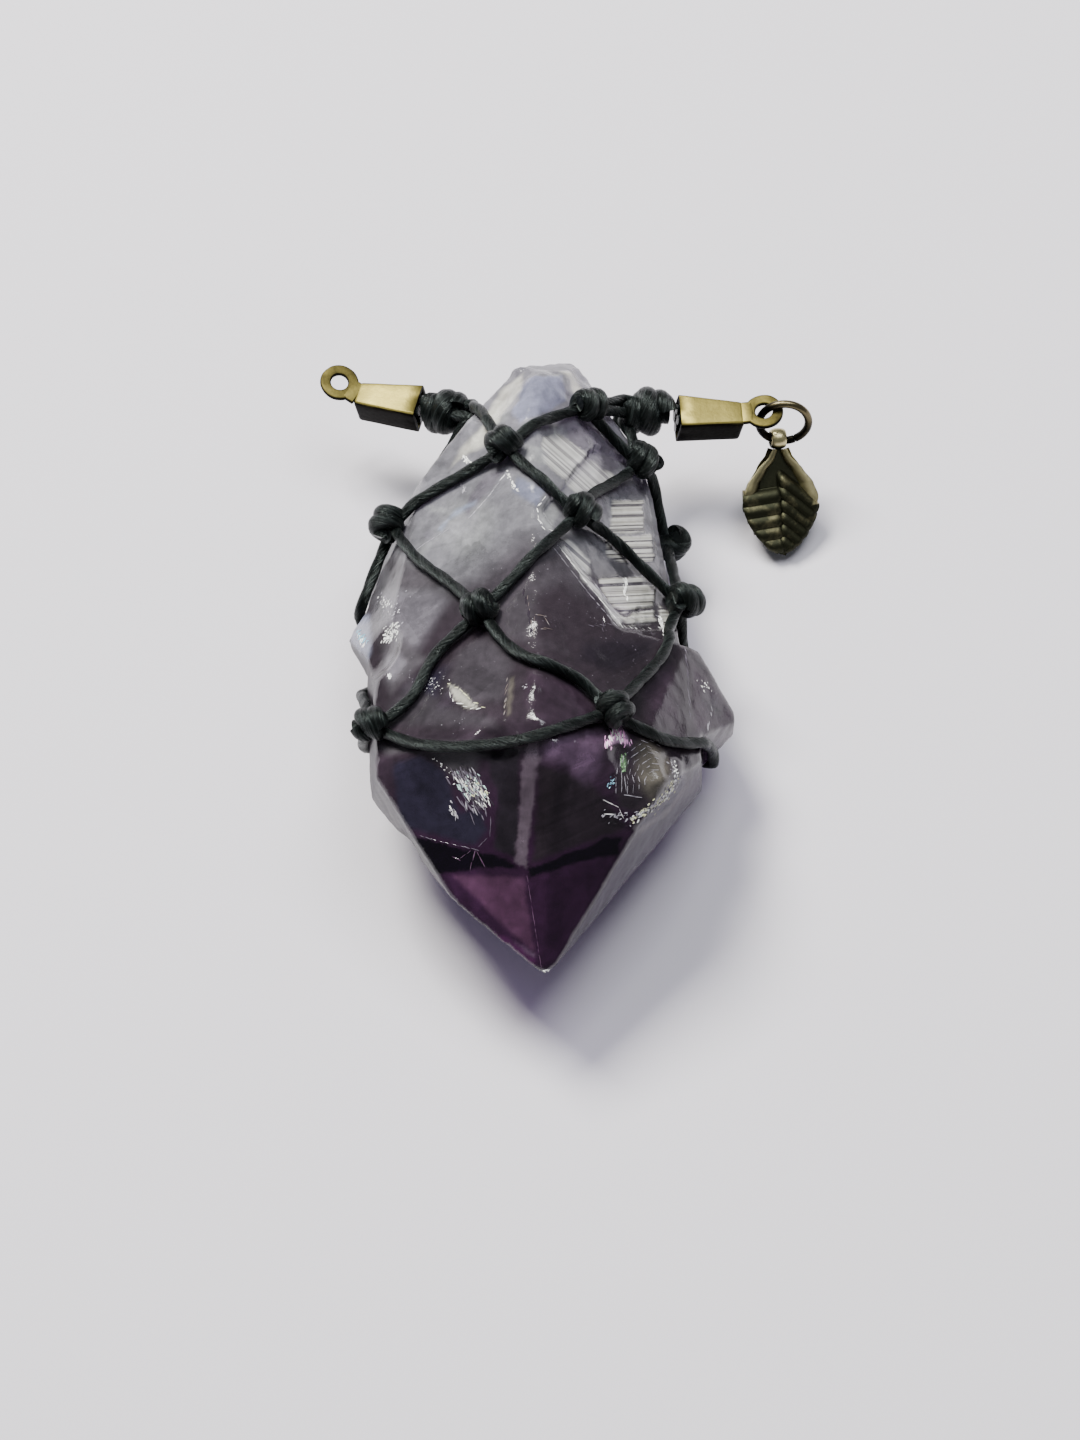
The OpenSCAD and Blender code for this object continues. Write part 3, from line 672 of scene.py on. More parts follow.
# Pale wisps of bubbles. In a colour mix, inputs 6 and 7 are the colours, and output 2 is the result
wisps = add_node(
    tree,
    "ShaderNodeTexNoise",
    {"Vector": bent.outputs["Vector"], "Scale": 1 / (WISP_SIZE * MM), "Detail": 6, "Roughness": 0.6},
    noise_type="RIDGED_MULTIFRACTAL",
)
wisp_share = add_node(
    tree,
    "ShaderNodeMapRange",
    {"Value": wisps.outputs["Fac"], "From Min": 0.5, "From Max": 1, "To Max": 0.42},
)
wispy = add_node(
    tree,
    "ShaderNodeMix",
    {0: wisp_share.outputs[0], 6: cloudy.outputs["Vector"], 7: linear("#8f8c94")},
    data_type="RGBA",
)
print("Nodes for the cloudy inside:", len(tree.nodes))

# %% [markdown]
# ## Amethyst: growth lines and broken places
# A noise that changes only along one axis gives level lines, as growing layers leave them. One
# set follows the growth steps, and one runs aslant beside them. Broken places are white,
# because every tiny step in them scatters the light.

# %% Amethyst: growth lines and broken places
BROKEN_GRAIN = 0.9
HATCH_STRENGTH = 0.8

lines = stripes(tree, place, STEP_AXIS, 2, 0.7)
line_shade = add_node(
    tree,
    "ShaderNodeValToRGB",
    {"Fac": lines},
    stops=[(0.38, "#57545a"), (0.46, "#c4c2b6"), (0.6, "#efeee6")],
)
lined = add_node(
    tree,
    "ShaderNodeMix",
    {0: marks["steps"], 6: wispy.outputs[2], 7: line_shade.outputs[0]},
    data_type="RGBA",
)
hatch_shade = add_node(
    tree,
    "ShaderNodeValToRGB",
    {"Fac": stripes(tree, place, HATCH_AXIS, 3, 0.8)},
    stops=[(0.38, "#85838a"), (0.55, "#f0f0ec")],
)
hatch_share = add_node(tree, "ShaderNodeMath", {0: marks["hatched"], 1: HATCH_STRENGTH}, operation="MULTIPLY")
striped = add_node(
    tree,
    "ShaderNodeMix",
    {0: hatch_share.outputs[0], 6: lined.outputs[2], 7: hatch_shade.outputs[0]},
    data_type="RGBA",
)
grain = add_node(
    tree,
    "ShaderNodeTexNoise",
    {"Vector": place, "Scale": 1 / (BROKEN_GRAIN * MM), "Detail": 5, "Roughness": 0.7},
)
broken = add_node(tree, "ShaderNodeMath", {0: marks["white"], 1: grain.outputs["Fac"]}, operation="MULTIPLY")
broken_share = add_node(
    tree, "ShaderNodeValToRGB", {"Fac": broken.outputs[0]}, stops=[(0.14, 0.0), (0.5, 0.9)]
)
skin = add_node(
    tree,
    "ShaderNodeMix",
    {0: broken_share.outputs[0], 6: striped.outputs[2], 7: linear("#e4e5ea")},
    data_type="RGBA",
)
tree.links.new(skin.outputs[2], shader.inputs["Base Color"])
print("Nodes with the lines:", len(tree.nodes))

# %% [markdown]
# ## Amethyst: shine and depth
# The index of refraction of quartz is 1.544. Clean faces are as smooth as glass, broken ones
# are frosted, and worn walls are dull. The shader is half clear and half milky, and the inside
# takes away some light. For lamps, a tinted see-through surface stands in, so that light
# reaches the inside and the table.

# %% Amethyst: shine and depth
QUARTZ_IOR = 1.544
CLEAR_SHARE = 0.5
SMOOTH_FACE, FROSTED_FACE, WORN_MORE = 0.11, 0.5, 0.4
# The inside takes away green first and blue last, and its density is for a metre
INSIDE_TINT, INSIDE_DENSITY = (0.46, 0.35, 0.5, 1), 300

broken_rough = add_node(
    tree,
    "ShaderNodeMapRange",
    {"Value": broken_share.outputs[0], "To Min": SMOOTH_FACE, "To Max": FROSTED_FACE},
)
rough = add_node(
    tree,
    "ShaderNodeMath",
    {0: marks["worn"], 1: WORN_MORE, 2: broken_rough.outputs[0]},
    operation="MULTIPLY_ADD",
)
relief = add_node(tree, "ShaderNodeMath", {0: lines, 1: marks["steps"]}, operation="MULTIPLY")
fine_bump = add_node(
    tree, "ShaderNodeBump", {"Height": relief.outputs[0], "Distance": 0.12 * MM, "Strength": 0.8}
)
grain_bump = add_node(
    tree,
    "ShaderNodeBump",
    {"Height": grain.outputs["Fac"], "Distance": 0.1 * MM, "Strength": 0.35, "Normal": fine_bump.outputs[0]},
)
tree.links.new(rough.outputs[0], shader.inputs["Roughness"])
tree.links.new(grain_bump.outputs[0], shader.inputs["Normal"])
shader.inputs["IOR"].default_value = QUARTZ_IOR
shader.inputs["Specular IOR Level"].default_value = 0.3
shader.inputs["Transmission Weight"].default_value = CLEAR_SHARE
# The stand-in for lamp light, and the light that the inside takes away
output = tree.nodes["Material Output"]
for_lamps = add_node(tree, "ShaderNodeBsdfTransparent", {"Color": linear("#8f839c")})
ray = add_node(tree, "ShaderNodeLightPath")
either = add_node(
    tree,
    "ShaderNodeMixShader",
    {0: ray.outputs["Is Shadow Ray"], 1: shader.outputs[0], 2: for_lamps.outputs[0]},
)
inside_colour = add_node(
    tree, "ShaderNodeVolumeAbsorption", {"Color": INSIDE_TINT, "Density": INSIDE_DENSITY}
)
tree.links.new(either.outputs[0], output.inputs["Surface"])
tree.links.new(inside_colour.outputs[0], output.inputs["Volume"])

show(stone_mesh, "amethyst_point", amethyst, "amethyst", "stone")
print("The stone's material has nodes:", len(tree.nodes))

# %% [markdown]
# ## Splinters and fine lines
# Where quartz breaks it leaves splinters, each with its own small mirror, and thin bright
# edges. They are finer than the points of the stone, so they are needles of their own, one
# small icosphere each. Scattered needles make the sparkling places, and needles in a row make
# edges and ripples. The tables say where they lie on the chart. The pale needle colours are
# painted glints: scattered, they paint the sparkle, and in a row they paint highlights along the edges.

# %% Splinters and fine lines
# The pale colours glint, lemon, aqua, sky, pinkish and green are painted glints; pinkish and green paint a
# rainbow sheen
NEEDLE_COLOURS = {
    "glint": "#f6f7f2",
    "lemon": "#dfe0b4",
    "aqua": "#b9dcd4",
    "fleck": "#9c99a1",
    "hair": "#5d5661",
    "faint": "#553a52",
    "shade": "#2b252d",
    "tan": "#6a5f5a",
    "pinkish": "#e3a3d4",
    "green": "#7fae7c",
    "sky": "#86b8cc",
}
# Colour, middle line on the chart, scatter, how many, length in mm, direction in degrees
# Entries in the pale colours are painted glints that make the sparkle
SPARKLES = [
    ("hair", [(-7.8, -3.8), (-6.9, -5.2), (-6.4, -6.3)], 0.5, 50, 0.8, -62),
    ("shade", [(-7.6, -4), (-6.9, -5.2), (-6.4, -6.3)], 0.4, 50, 0.6, -55),
    ("fleck", [(-7.8, -3.9), (-6.9, -5.2), (-6.4, -6.3)], 0.45, 34, 0.6, -62),
    ("glint", [(-7.7, -4.2), (-6.9, -5.2), (-6.2, -6.1)], 0.34, 14, 0.7, -58),
    ("glint", [(-7.4, -4.3), (-6.6, -5.4)], 0.38, 18, 0.26, 20),
    ("aqua", [(-7.5, -4.4), (-6.6, -5.4)], 0.34, 26, 0.4, -50),
    ("lemon", [(-7, -4.8), (-6, -5.6)], 0.3, 18, 0.3, -35),
    ("glint", [(-7, -4.6), (-5.9, -5.5), (-6.1, -6.2)], 0.12, 32, 0.14, -60),
    ("fleck", [(-8.6, -6.1), (-8, -7.1)], 0.1, 16, 0.24, -52),
    ("glint", [(-8.5, -6.3), (-8.1, -7)], 0.07, 12, 0.16, -52),
    ("glint", [(-9.6, -3), (-8.8, -3.7), (-8.3, -4.1)], 0.12, 14, 0.12, -40),
    ("glint", SHELL_RIM[:4], 0.12, 100, 0.18, 40),
    ("lemon", SHELL_RIM[1:4], 0.18, 80, 0.2, 40),
    ("shade", SHELL_RIM[:4], 0.2, 80, 0.24, 40),
    ("fleck", SHELL_RIM, 0.25, 70, 0.24, 35),
    ("glint", [(-13.8, 8.5), (-13.1, 8)], 0.16, 36, 0.18, 30),
    ("fleck", [(-13.7, 8.6), (-12.6, 7.2)], 0.25, 40, 0.2, 50),
    ("glint", [(-13.3, 5.4), (-12.6, 6.5)], 0.22, 110, 0.2, 45),
    ("fleck", [(-13, 7.4), (-11.4, 9)], 0.4, 8, 0.2, 50),
    ("fleck", [(-2.6, 4.2), (-1.6, 3.4)], 0.3, 14, 0.1, 50),
    ("glint", [(6.45, 7.2), (6.8, 6.2), (7.2, 5.4)], 0.09, 80, 0.26, -65),
    ("glint", [(4.05, 9.9), (3.9, 8.9), (4.15, 8.3)], 0.04, 30, 0.3, 85),
    ("glint", [(-4.6, 17.8), (-4.2, 16.9), (-3.9, 16.3)], 0.09, 36, 0.2, -60),
    ("fleck", [(-11.6, 2.6), (-9, 2.2)], 0.5, 46, 0.1, 20),
    ("glint", [(-10.6, 2.4), (-9.2, 2)], 0.22, 24, 0.11, 20),
    ("glint", [(-3.9, -17.9), (-3, -18.3), (-1.8, -18.3)], 0.1, 34, 0.2, 0),
    ("pinkish", [(2.6, -1.9), (3.1, -0.8), (3.9, -1.9)], 0.16, 60, 0.42, 76),
    ("glint", [(2.6, -1.8), (3, -0.9), (3.6, -1.6)], 0.14, 32, 0.42, 76),
    ("green", [(3.5, -2.6), (3.7, -3.8)], 0.1, 24, 0.16, 80),
    ("sky", [(2.5, -4.9), (2.9, -4.4)], 0.1, 24, 0.14, 50),
    ("glint", [(-7.9, 19.1), (-7.4, 18.6)], 0.1, 26, 0.2, -60),
    ("fleck", [(-8, 17.2), (-7.6, 16.2)], 0.12, 18, 0.2, -60),
    ("fleck", [(-3.4, 2.1), (-2.8, 2.1)], 0.12, 6, 0.14, 20),
    ("fleck", [(-12, -0.2), (-6, -0.4)], 0.6, 12, 0.08, 0),
    ("hair", [(-6, 4), (0, 8), (5, 4), (7, 2)], 1.6, 90, 0.09, 0),
    ("fleck", [(-5, 9), (0, 10), (4, 5)], 1.6, 50, 0.06, 0),
    ("glint", [(-3.4, -17.2), (-2.2, -17.8), (-1.4, -17.6)], 0.1, 26, 0.2, -20),
    ("sky", [(-15.5, 6.2), (-14.9, 5.5)], 0.14, 34, 0.35, -20),
    ("glint", [(-15.3, 5.9), (-15, 5.2)], 0.12, 16, 0.3, -50),
    ("glint", [(9.4, 2.4), (10, 1.8)], 0.16, 16, 0.16, -40),
]
# Colour, line on the chart, half width in mm
# Rows in glint and lemon are painted highlights along the edges
EDGES = [
    ("glint", [(-0.9, 12.3), (1.5, 9.1), (3.7, 6.45), (5, 6.25), (6.6, 6.4)], 0.035),
    ("fleck", [(-1.3, 12.2), (1.2, 8.9), (3.4, 6.3)], 0.025),
    ("fleck", [(-0.3, 12.2), (1.9, 9.3), (3.2, 7.5), (4, 7), (6.4, 7.3)], 0.03),
    ("glint", [(-1.7, 16), (-2.4, 15), (-2.3, 14.2), (-1.9, 13.4), (-1.2, 13.3)], 0.04),
    ("glint", [(4, 8.4), (3.9, 9.9)], 0.04),
    ("hair", [(-12.3, -7.9), (-9.5, -8.7), (-6.7, -9.3), (-5.7, -8.3), (-5.6, -7)], 0.025),
    ("faint", [(-6.9, -9.3), (-7.9, -10), (-8.2, -9.9)], 0.04),
    ("faint", [(-6.7, -9.3), (-7.1, -10.7)], 0.04),
    ("faint", [(-6.7, -9.3), (-6, -10.6)], 0.04),
    ("faint", [(-3.1, -11.1), (-2.1, -17.6)], 0.025),
    ("fleck", [(3.7, -4.3), (3.9, -5.5), (5, -5.7)], 0.03),
    ("glint", [(2.2, -5.8), (3.2, -6.3), (3.6, -7)], 0.035),
    ("glint", [(2.3, -6.8), (3.6, -6.9)], 0.035),
    ("lemon", [(-8.8, 2.4), (-7.8, 1.9), (-7, 1.1), (-6.1, 0.6)], 0.035),
    ("glint", [(-8.7, 1.9), (-8.3, 1.1), (-7.2, 0.6), (-6.2, 0.5)], 0.035),
    ("shade", [(-3.4, 9), (-3, 7.4), (-2.8, 5.8)], 0.09),
    ("tan", [(-3.1, 8.6), (-2.9, 7), (-2.6, 5.6)], 0.025),
    ("tan", [(-2.6, 7.2), (-1.8, 7.1), (-1.6, 6.2), (-2.6, 6.1), (-2.6, 7.2)], 0.025),
    ("tan", [(-4.7, 0), (-4.5, 2.8)], 0.03),
    ("hair", [(8.2, 5), (8.4, 3), (8.5, 0)], 0.04),
    ("fleck", [(9.5, -1.6), (10, -0.3), (10.2, 1)], 0.04),
    ("fleck", [(-12, 11.5), (-10.5, 12.6), (-8.8, 13.6)], 0.03),
    ("fleck", [(-4.6, 17.8), (-5.9, 16), (-7.4, 14.3)], 0.03),
    ("hair", [(1.2, 6.4), (3, 6.6)], 0.03),
    ("hair", [(2.4, 7.2), (2.2, 5.9)], 0.03),
]
# Ripples of the shell fracture run round this place on the chart, at these angles in radians
RIPPLE_AT, RIPPLE_STEP, RIPPLES = (6.1, -4.7), 0.42, 6
RIPPLE_ANGLES = (3.4, 2.9, 2.4, 1.9, 1.5)
print("Places with splinters:", len(SPARKLES), "fine lines:", len(EDGES) + RIPPLES)

# %% [markdown]
# ## Lay the splinters
# Each needle is stretched, tilted and half sunk in the surface that the camera sees at its
# place. Long needles lie nearly parallel, and short ones in all directions. A row of needles
# follows its line with small gaps, as a chipped edge does.

# %% Lay the splinters
LONG_NEEDLE, LONG_SPREAD, SHORT_SPREAD = 0.4, 11, 28
THICKEST = 0.06
ROW_STEP = 0.5
RAY_START = 60


def on_front(x, h):
    """The surface that the camera sees at a place on the chart, and its outward direction."""
    start = Vector((x, CHART_Y * h, CHART_Z * h)) + RAY_START * TOWARDS_CAMERA
    return stone_tree.ray_cast(start, -TOWARDS_CAMERA)[:2]


def along_line(line, share):
    """The place at a share of the whole length of a line, and the direction there in radians."""
    lengths = [math.dist(a, b) for a, b in zip(line, line[1:])]
    left = share * sum(lengths)
    for (a, b), length in zip(zip(line, line[1:]), lengths):
        if left <= length or b == line[-1]:
            t = left / length
            return a[0] + t * (b[0] - a[0]), a[1] + t * (b[1] - a[1]), math.atan2(b[1] - a[1], b[0] - a[0])
        left -= length


def needle(bm, tint, colour, x, h, angle, length, radius, tilt):
    """One splinter, half sunk in the stone."""
    spot, out = on_front(x, h)
    if spot is None:
        return
    flat = Vector((math.cos(angle), CHART_Y * math.sin(angle), CHART_Z * math.sin(angle)))
    along = (flat - out * flat.dot(out)).normalized()
    frame_of = Matrix((along, out.cross(along), out)).transposed().to_4x4()
    shape = Matrix.Rotation(tilt, 4, "X") @ Matrix.Diagonal((length / 2, radius, radius * 0.6, 1))
    made = bmesh.ops.create_icosphere(bm, subdivisions=1, radius=1)
    for v in made["verts"]:
        v.co *= dice.uniform(0.6, 1.4)
        v[tint] = linear(NEEDLE_COLOURS[colour])[:3]
    bmesh.ops.transform(bm, matrix=Matrix.Translation(spot) @ frame_of @ shape, verts=made["verts"])


dice = random.Random(7)
bm = bmesh.new()
tint = bm.verts.layers.float_vector.new("paint")
for colour, line, scatter, count, length, degrees in SPARKLES:
    for _ in range(count):
        x, h, _ = along_line(line, dice.random())
        spread = SHORT_SPREAD if length < LONG_NEEDLE else LONG_SPREAD
        turn = math.radians(degrees + dice.gauss(0, spread))
        size = length * dice.uniform(0.5, 1.5)
        x, h = x + dice.gauss(0, scatter), h + dice.gauss(0, scatter)
        radius = min(THICKEST, size * dice.uniform(0.12, 0.35))
        needle(bm, tint, colour, x, h, turn, size, radius, dice.gauss(0, 0.6))
ripples = []
for i in range(RIPPLES):
    r = 1 + RIPPLE_STEP * i
    ring = [(RIPPLE_AT[0] + r * math.cos(a), RIPPLE_AT[1] + r * math.sin(a)) for a in RIPPLE_ANGLES]
    ripples.append(("fleck", ring, 0.02))
for colour, line, radius in EDGES + ripples:
    whole = sum(math.dist(a, b) for a, b in zip(line, line[1:]))
    pieces = max(2, round(whole / ROW_STEP))
    for k in range(pieces):
        x, h, turn = along_line(line, min(1, (k + dice.uniform(0.2, 0.8)) / pieces))
        thick = radius * dice.uniform(0.5, 1.3)
        needle(bm, tint, colour, x, h, turn, dice.uniform(0.4, 0.85), thick, dice.gauss(0, 0.3))

splinter, tree, shader = new_finish("quartz splinters")
paint = add_node(tree, "ShaderNodeAttribute", attribute_name="paint").outputs["Vector"]
tree.links.new(paint, shader.inputs["Base Color"])
shader.inputs["Roughness"].default_value = 0.08
shader.inputs["IOR"].default_value = QUARTZ_IOR
splinters = show(mesh_of(bm, "stone_splinters"), "stone_splinters", splinter, "amethyst")
for polygon in splinters.data.polygons:
    polygon.use_smooth = False
print("Splinters, faces:", len(splinters.data.polygons))

# %% [markdown]
# ## Veils inside the stone
# Healed cracks inside quartz show as thin wavy veils of tiny bubbles. Each veil is a grid, bent
# by noise and hung inside the stone, where it doesn't touch the skin. Its surface lets light
# through except where a noise leaves bubbles, and it fades out at its rim.

# %% Veils inside the stone
# Middle in mm, turn round X and round Z in degrees, width and height in mm
VEILS = [
    ((-8, 8.5, 10.5), 30, 20, 8, 6),
    ((-3.4, -3, 15.5), 70, 80, 5, 2.2),
    ((-8, -7, 13), 20, 35, 4.5, 2),
    ((-7, -14, 12), 50, 15, 3.4, 4),
    ((4.2, -11, 12.5), 40, -25, 4, 3.4),
    ((2, 2, 12), 15, -15, 7, 5),
    ((9.3, -3, 7.5), 75, 75, 6, 4),
    ((0, 15, 9), 35, -10, 7, 5),
    ((-12.5, 3, 9), 55, 60, 5, 4),
]
# No veil comes nearer to the skin than this, in mm
VEIL_DEPTH = 0.35
BUBBLE_SIZE = 1.4

veil, tree, shader = new_finish("healed crack in quartz")
place = add_node(tree, "ShaderNodeTexCoord").outputs["Object"]
fade = add_node(tree, "ShaderNodeAttribute", attribute_name="fade").outputs["Fac"]
bubbles = add_node(
    tree,
    "ShaderNodeTexNoise",
    {"Vector": place, "Scale": 1 / (BUBBLE_SIZE * MM), "Detail": 8, "Roughness": 0.72, "Distortion": 0.5},
)
thick = add_node(tree, "ShaderNodeMath", {0: bubbles.outputs["Fac"], 1: fade}, operation="MULTIPLY")
alpha = add_node(
    tree,
    "ShaderNodeMapRange",
    {"Value": thick.outputs[0], "From Min": 0.33, "From Max": 0.62, "To Max": 0.75},
)
tree.links.new(alpha.outputs[0], shader.inputs["Alpha"])
shader.inputs["Base Color"].default_value = linear("#eceaf2")
shader.inputs["Roughness"].default_value = 0.35

bm = bmesh.new()
fading = bm.verts.layers.float.new("fade")
for middle, tip, turn, width, height in VEILS:
    made = bmesh.ops.create_grid(bm, x_segments=28, y_segments=22, size=0.5)
    hang = moved(turn=turn, slope=tip, at=middle)
    for v in made["verts"]:
        rim = 2 * math.hypot(v.co.x, v.co.y)
        v[fading] = 1 - smooth(0.45, 1, rim)
        v.co = hang @ Vector((v.co.x * width, v.co.y * height, 0))
        v.co += 0.5 * noise.noise_vector(v.co * 0.5)
        near, normal, _, _ = stone_tree.find_nearest(v.co)
        v.co -= normal * max(0, VEIL_DEPTH + (v.co - near).dot(normal))
show(mesh_of(bm, "inner_veils"), "inner_veils", veil, "amethyst")
print("Veils hung:", len(VEILS))

# %% [markdown]
# ## Waxed cord
# The net is made of a black polyester cord with a wax finish. Two plies are twisted together,
# and the wax lays the fibres flat, so the surface is nearly black with a soft sheen and fine
# slanted lines. The twist is real shape here: a curve sweeps a section of two lobes and turns it
# on its way. The fibres are too fine for the mesh, and a noise stretched along the cord draws them.

# %% Waxed cord
CORD_R = 0.43
TWIST = 5.2
# Width of the fibres round the cord, share of that scale along it, and slant. On the real cord
# they are much finer, and a picture can't hold them.
FIBRE, FIBRE_STRETCH, FIBRE_SLANT = 0.26, 0.09, 0.05
WAX_PATCH = 1.6

waxed_cord, tree, shader = new_finish("waxed polyester cord, two plies")
surface = add_node(tree, "ShaderNodeUVMap", uv_map="cord").outputs[0]
# The map runs in metres: along the cord, and round it. A small turn slants the fibres.
slanted = add_node(
    tree,
    "ShaderNodeMapping",
    {"Vector": surface, "Scale": (FIBRE_STRETCH, 1, 1), "Rotation": (0, 0, FIBRE_SLANT)},
)
fibres = add_node(
    tree,
    "ShaderNodeTexNoise",
    {"Vector": slanted.outputs[0], "Scale": 1 / (FIBRE * MM), "Detail": 4, "Roughness": 0.65},
)
wax = add_node(tree, "ShaderNodeTexNoise", {"Vector": surface, "Scale": 1 / (WAX_PATCH * MM), "Detail": 3})
tone = add_node(
    tree,
    "ShaderNodeValToRGB",
    {"Fac": fibres.outputs["Fac"]},
    stops=[(0.4, "#000000"), (0.54, "#040505"), (0.68, "#242928")],
)
shine = add_node(
    tree,
    "ShaderNodeMapRange",
    {"Value": wax.outputs["Fac"], "From Min": 0.3, "From Max": 0.7, "To Min": 0.24, "To Max": 0.42},
)
relief = add_node(
    tree, "ShaderNodeBump", {"Height": fibres.outputs["Fac"], "Distance": 0.34 * MM, "Strength": 1}
)
tree.links.new(tone.outputs[0], shader.inputs["Base Color"])
tree.links.new(shine.outputs[0], shader.inputs["Roughness"])
tree.links.new(relief.outputs[0], shader.inputs["Normal"])
shader.inputs["IOR"].default_value = 1.45
shader.inputs["Specular IOR Level"].default_value = 0.4
shader.inputs["Specular Tint"].default_value = linear("#cfdfda")
shader.inputs["Sheen Weight"].default_value = 0.03
shader.inputs["Sheen Roughness"].default_value = 0.4
shader.inputs["Sheen Tint"].default_value = linear("#8fa8a0")
print("Cord, diameter in mm:", 2 * CORD_R)

# %% [markdown]
# ## A strand of cord
# A strand follows its points at even steps. The curve keeps its section from twisting by
# itself, and the tilt of each point adds the twist of the plies. The section has one lobe for
# each ply. The mesh that the curve makes gets a map in real lengths, so that the fibres are
# as fine on a long cord as in a small knot.

# %% A strand of cord
PLIES = 2
SECTION_POINTS = 16
SWEEP_STEP = 0.28
# Radius in the groove between two plies, as a share of the full one
GROOVE = 0.86


def even(points, step):
    """The same line with points at even steps."""
    line = [Vector(p) for p in points]
    made, left = [line[0].copy()], step
    for a, b in zip(line, line[1:]):
        length = (b - a).length
        while left <= length:
            made.append(a.lerp(b, left / length))
            left += step
        left -= length
    if (made[-1] - line[-1]).length > 0.4 * step:
        made.append(line[-1].copy())
    return made


def lobed_section(radius):
    """A closed flat curve with one lobe for each ply."""
    curve = bpy.data.curves.new("section", "CURVE")
    spline = curve.splines.new("POLY")
    spline.points.add(SECTION_POINTS - 1)
    spline.use_cyclic_u = True
    for i, point in enumerate(spline.points):
        angle = 2 * math.pi * i / SECTION_POINTS
        r = radius * (GROOVE + (1 - GROOVE) * abs(math.cos(angle * PLIES / 2)))
        point.co = (r * math.cos(angle), r * math.sin(angle), 0, 1)
    return linked("section", curve)


def swept(points, section, tilts):
    """The mesh of the section swept along the points, with a tilt at each."""
    curve = bpy.data.curves.new("strand", "CURVE")
    curve.dimensions = "3D"
    curve.bevel_mode = "OBJECT"
    curve.bevel_object = section
    curve.use_fill_caps = True
    spline = curve.splines.new("POLY")
    spline.points.add(len(points) - 1)
    for point, co, tilt in zip(spline.points, points, tilts):
        point.co = (*co, 1)
        point.tilt = tilt
    return finished_mesh(linked("strand", curve))


def mapped(mesh, length, round_about):
    """Gives the mesh a map in metres, along the strand and round it."""
    part = bmesh.new()
    part.from_mesh(mesh)
    maps = part.loops.layers.uv.active or part.loops.layers.uv.new("cord")
    for face in part.faces:
        for loop in face.loops:
            u, v = loop[maps].uv
            loop[maps].uv = (u * length * MM, v * round_about * MM)
    part.to_mesh(mesh)
    part.free()


def strands(name, lines, radius=CORD_R, twist=TWIST, step=SWEEP_STEP, start=0.0):
    """One mesh with a twisted strand for each line of points, in metres."""
    section = lobed_section(radius)
    whole = bmesh.new()
    for line in lines:
        points = even(line, step)
        tilts = [start + 2 * math.pi * i * step / twist for i in range(len(points))]
        mesh = swept(points, section, tilts)
        mapped(mesh, step * (len(points) - 1), 2 * math.pi * radius)
        whole.from_mesh(mesh)
    bpy.data.objects.remove(section)
    whole.transform(Matrix.Scale(MM, 4))
    bmesh.ops.recalc_face_normals(whole, faces=whole.faces)
    mesh = bpy.data.meshes.new(name)
    whole.to_mesh(mesh)
    whole.free()
    mesh.uv_layers[0].name = "cord"
    return mesh


# %% [markdown]
# ## Where the cords run
# A knot is given by its CAD node's box. Between knots a cord lies on the stone: each stop is a
# station from the point and an angle round the long axis, and a ray from outside finds the
# skin there. The line is then pulled tight step by step and pushed out of the stone each time,
# as a real cord under tension finds its way.

# %% Where the cords run
AXIS_X, AXIS_Z, TIP_Y = -2.2, 10, -26
# Rays start this far from the axis, and a cord this far from the skin isn't moved by it
FAR, FREE = 60, 3
KNOT_NAMES = [f"front_knot_{i}" for i in range(1, 11)] + [f"back_knot_{i}" for i in range(1, 9)]
# Turn of the wraps on each knot, in degrees
KNOT_TURNS = [20, 30, -30, 60, -35, 5, 10, 0, 0, -60, 20, -30, 30, 10, 20, -25, 40, -20]
# From knot, to knot, and the stops between them: station in mm from the point, angle in degrees
WAYS = [
    (0, 1, [(44, 27), (42.2, 1)]),
    (0, 2, [(44, 80)]),
    (1, 3, [(38.8, -52), (38.2, -65), (37.5, -77)]),
    (1, 4, [(36.5, -3)]),
    (2, 4, [(41.2, 95), (39.2, 77), (36.6, 42)]),
    (2, 7, [(42, 106), (40.5, 119)]),
    (3, 5, [(31.2, -71), (29, -56)]),
    (3, 14, [(34.5, -98), (30.5, -100)]),
    (4, 5, [(28.8, -4)]),
    (4, 6, [(33.8, 57), (32.7, 74)]),
    (5, 8, [(22, -60), (19.2, -58)]),
    (5, 9, [(21.8, -19), (19.8, -8), (18.8, 2), (19.2, 20)]),
    (6, 9, [(27.5, 88), (23.8, 72), (19.5, 51)]),
    (6, 17, [(28, 118), (24.5, 134)]),
    (14, 8, [(24, -104), (21, -86)]),
    (8, 9, [(14.5, -57), (13.9, -44), (13.6, -28), (13.2, 1)]),
    (9, 17, [(15.6, 60), (16.8, 80), (19.3, 102), (20.8, 122)]),
    (16, 8, [(19.8, -106)]),
]
LEFT, RIGHT = "left", "right"
# The knots along each cord, counted from 0 in KNOT_NAMES, from the rim to its gather knot
CORDS = [
    [8, 5, 4, 2, RIGHT],
    [9, 6, 7, 12, 10, LEFT],
    [17, 15, 13, 11, LEFT],
    [16, 14, 3, 1, 0, RIGHT],
    [9, 5, 3, 11, 10, LEFT],
    [8, 14, 13, 12, RIGHT],
    [16, 15, 7, 2, 0, RIGHT],
    [17, 6, 4, 1, LEFT],
]
RIM = [8, 9, 17, 16, 8]


def node_middle(name):
    """The middle of a CAD node's box, in mm."""
    low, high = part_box(name)
    return (low + high) / 2 / MM


def on_skin(station, angle, lift):
    """The place on the stone at the station and angle, lifted from the skin."""
    out = Vector((math.sin(math.radians(angle)), 0, math.cos(math.radians(angle))))
    start = Vector((AXIS_X, TIP_Y + station, AXIS_Z)) + FAR * out
    return stone_tree.ray_cast(start, -out)[0] + lift * out


def off_stone(p, lift):
    """The place, or the nearest one that is as far from the stone as the lift."""
    near, normal, _, distance = stone_tree.find_nearest(p)
    depth = (p - near).dot(normal)
    return p if depth >= lift or distance > FREE else p + (lift - depth) * normal


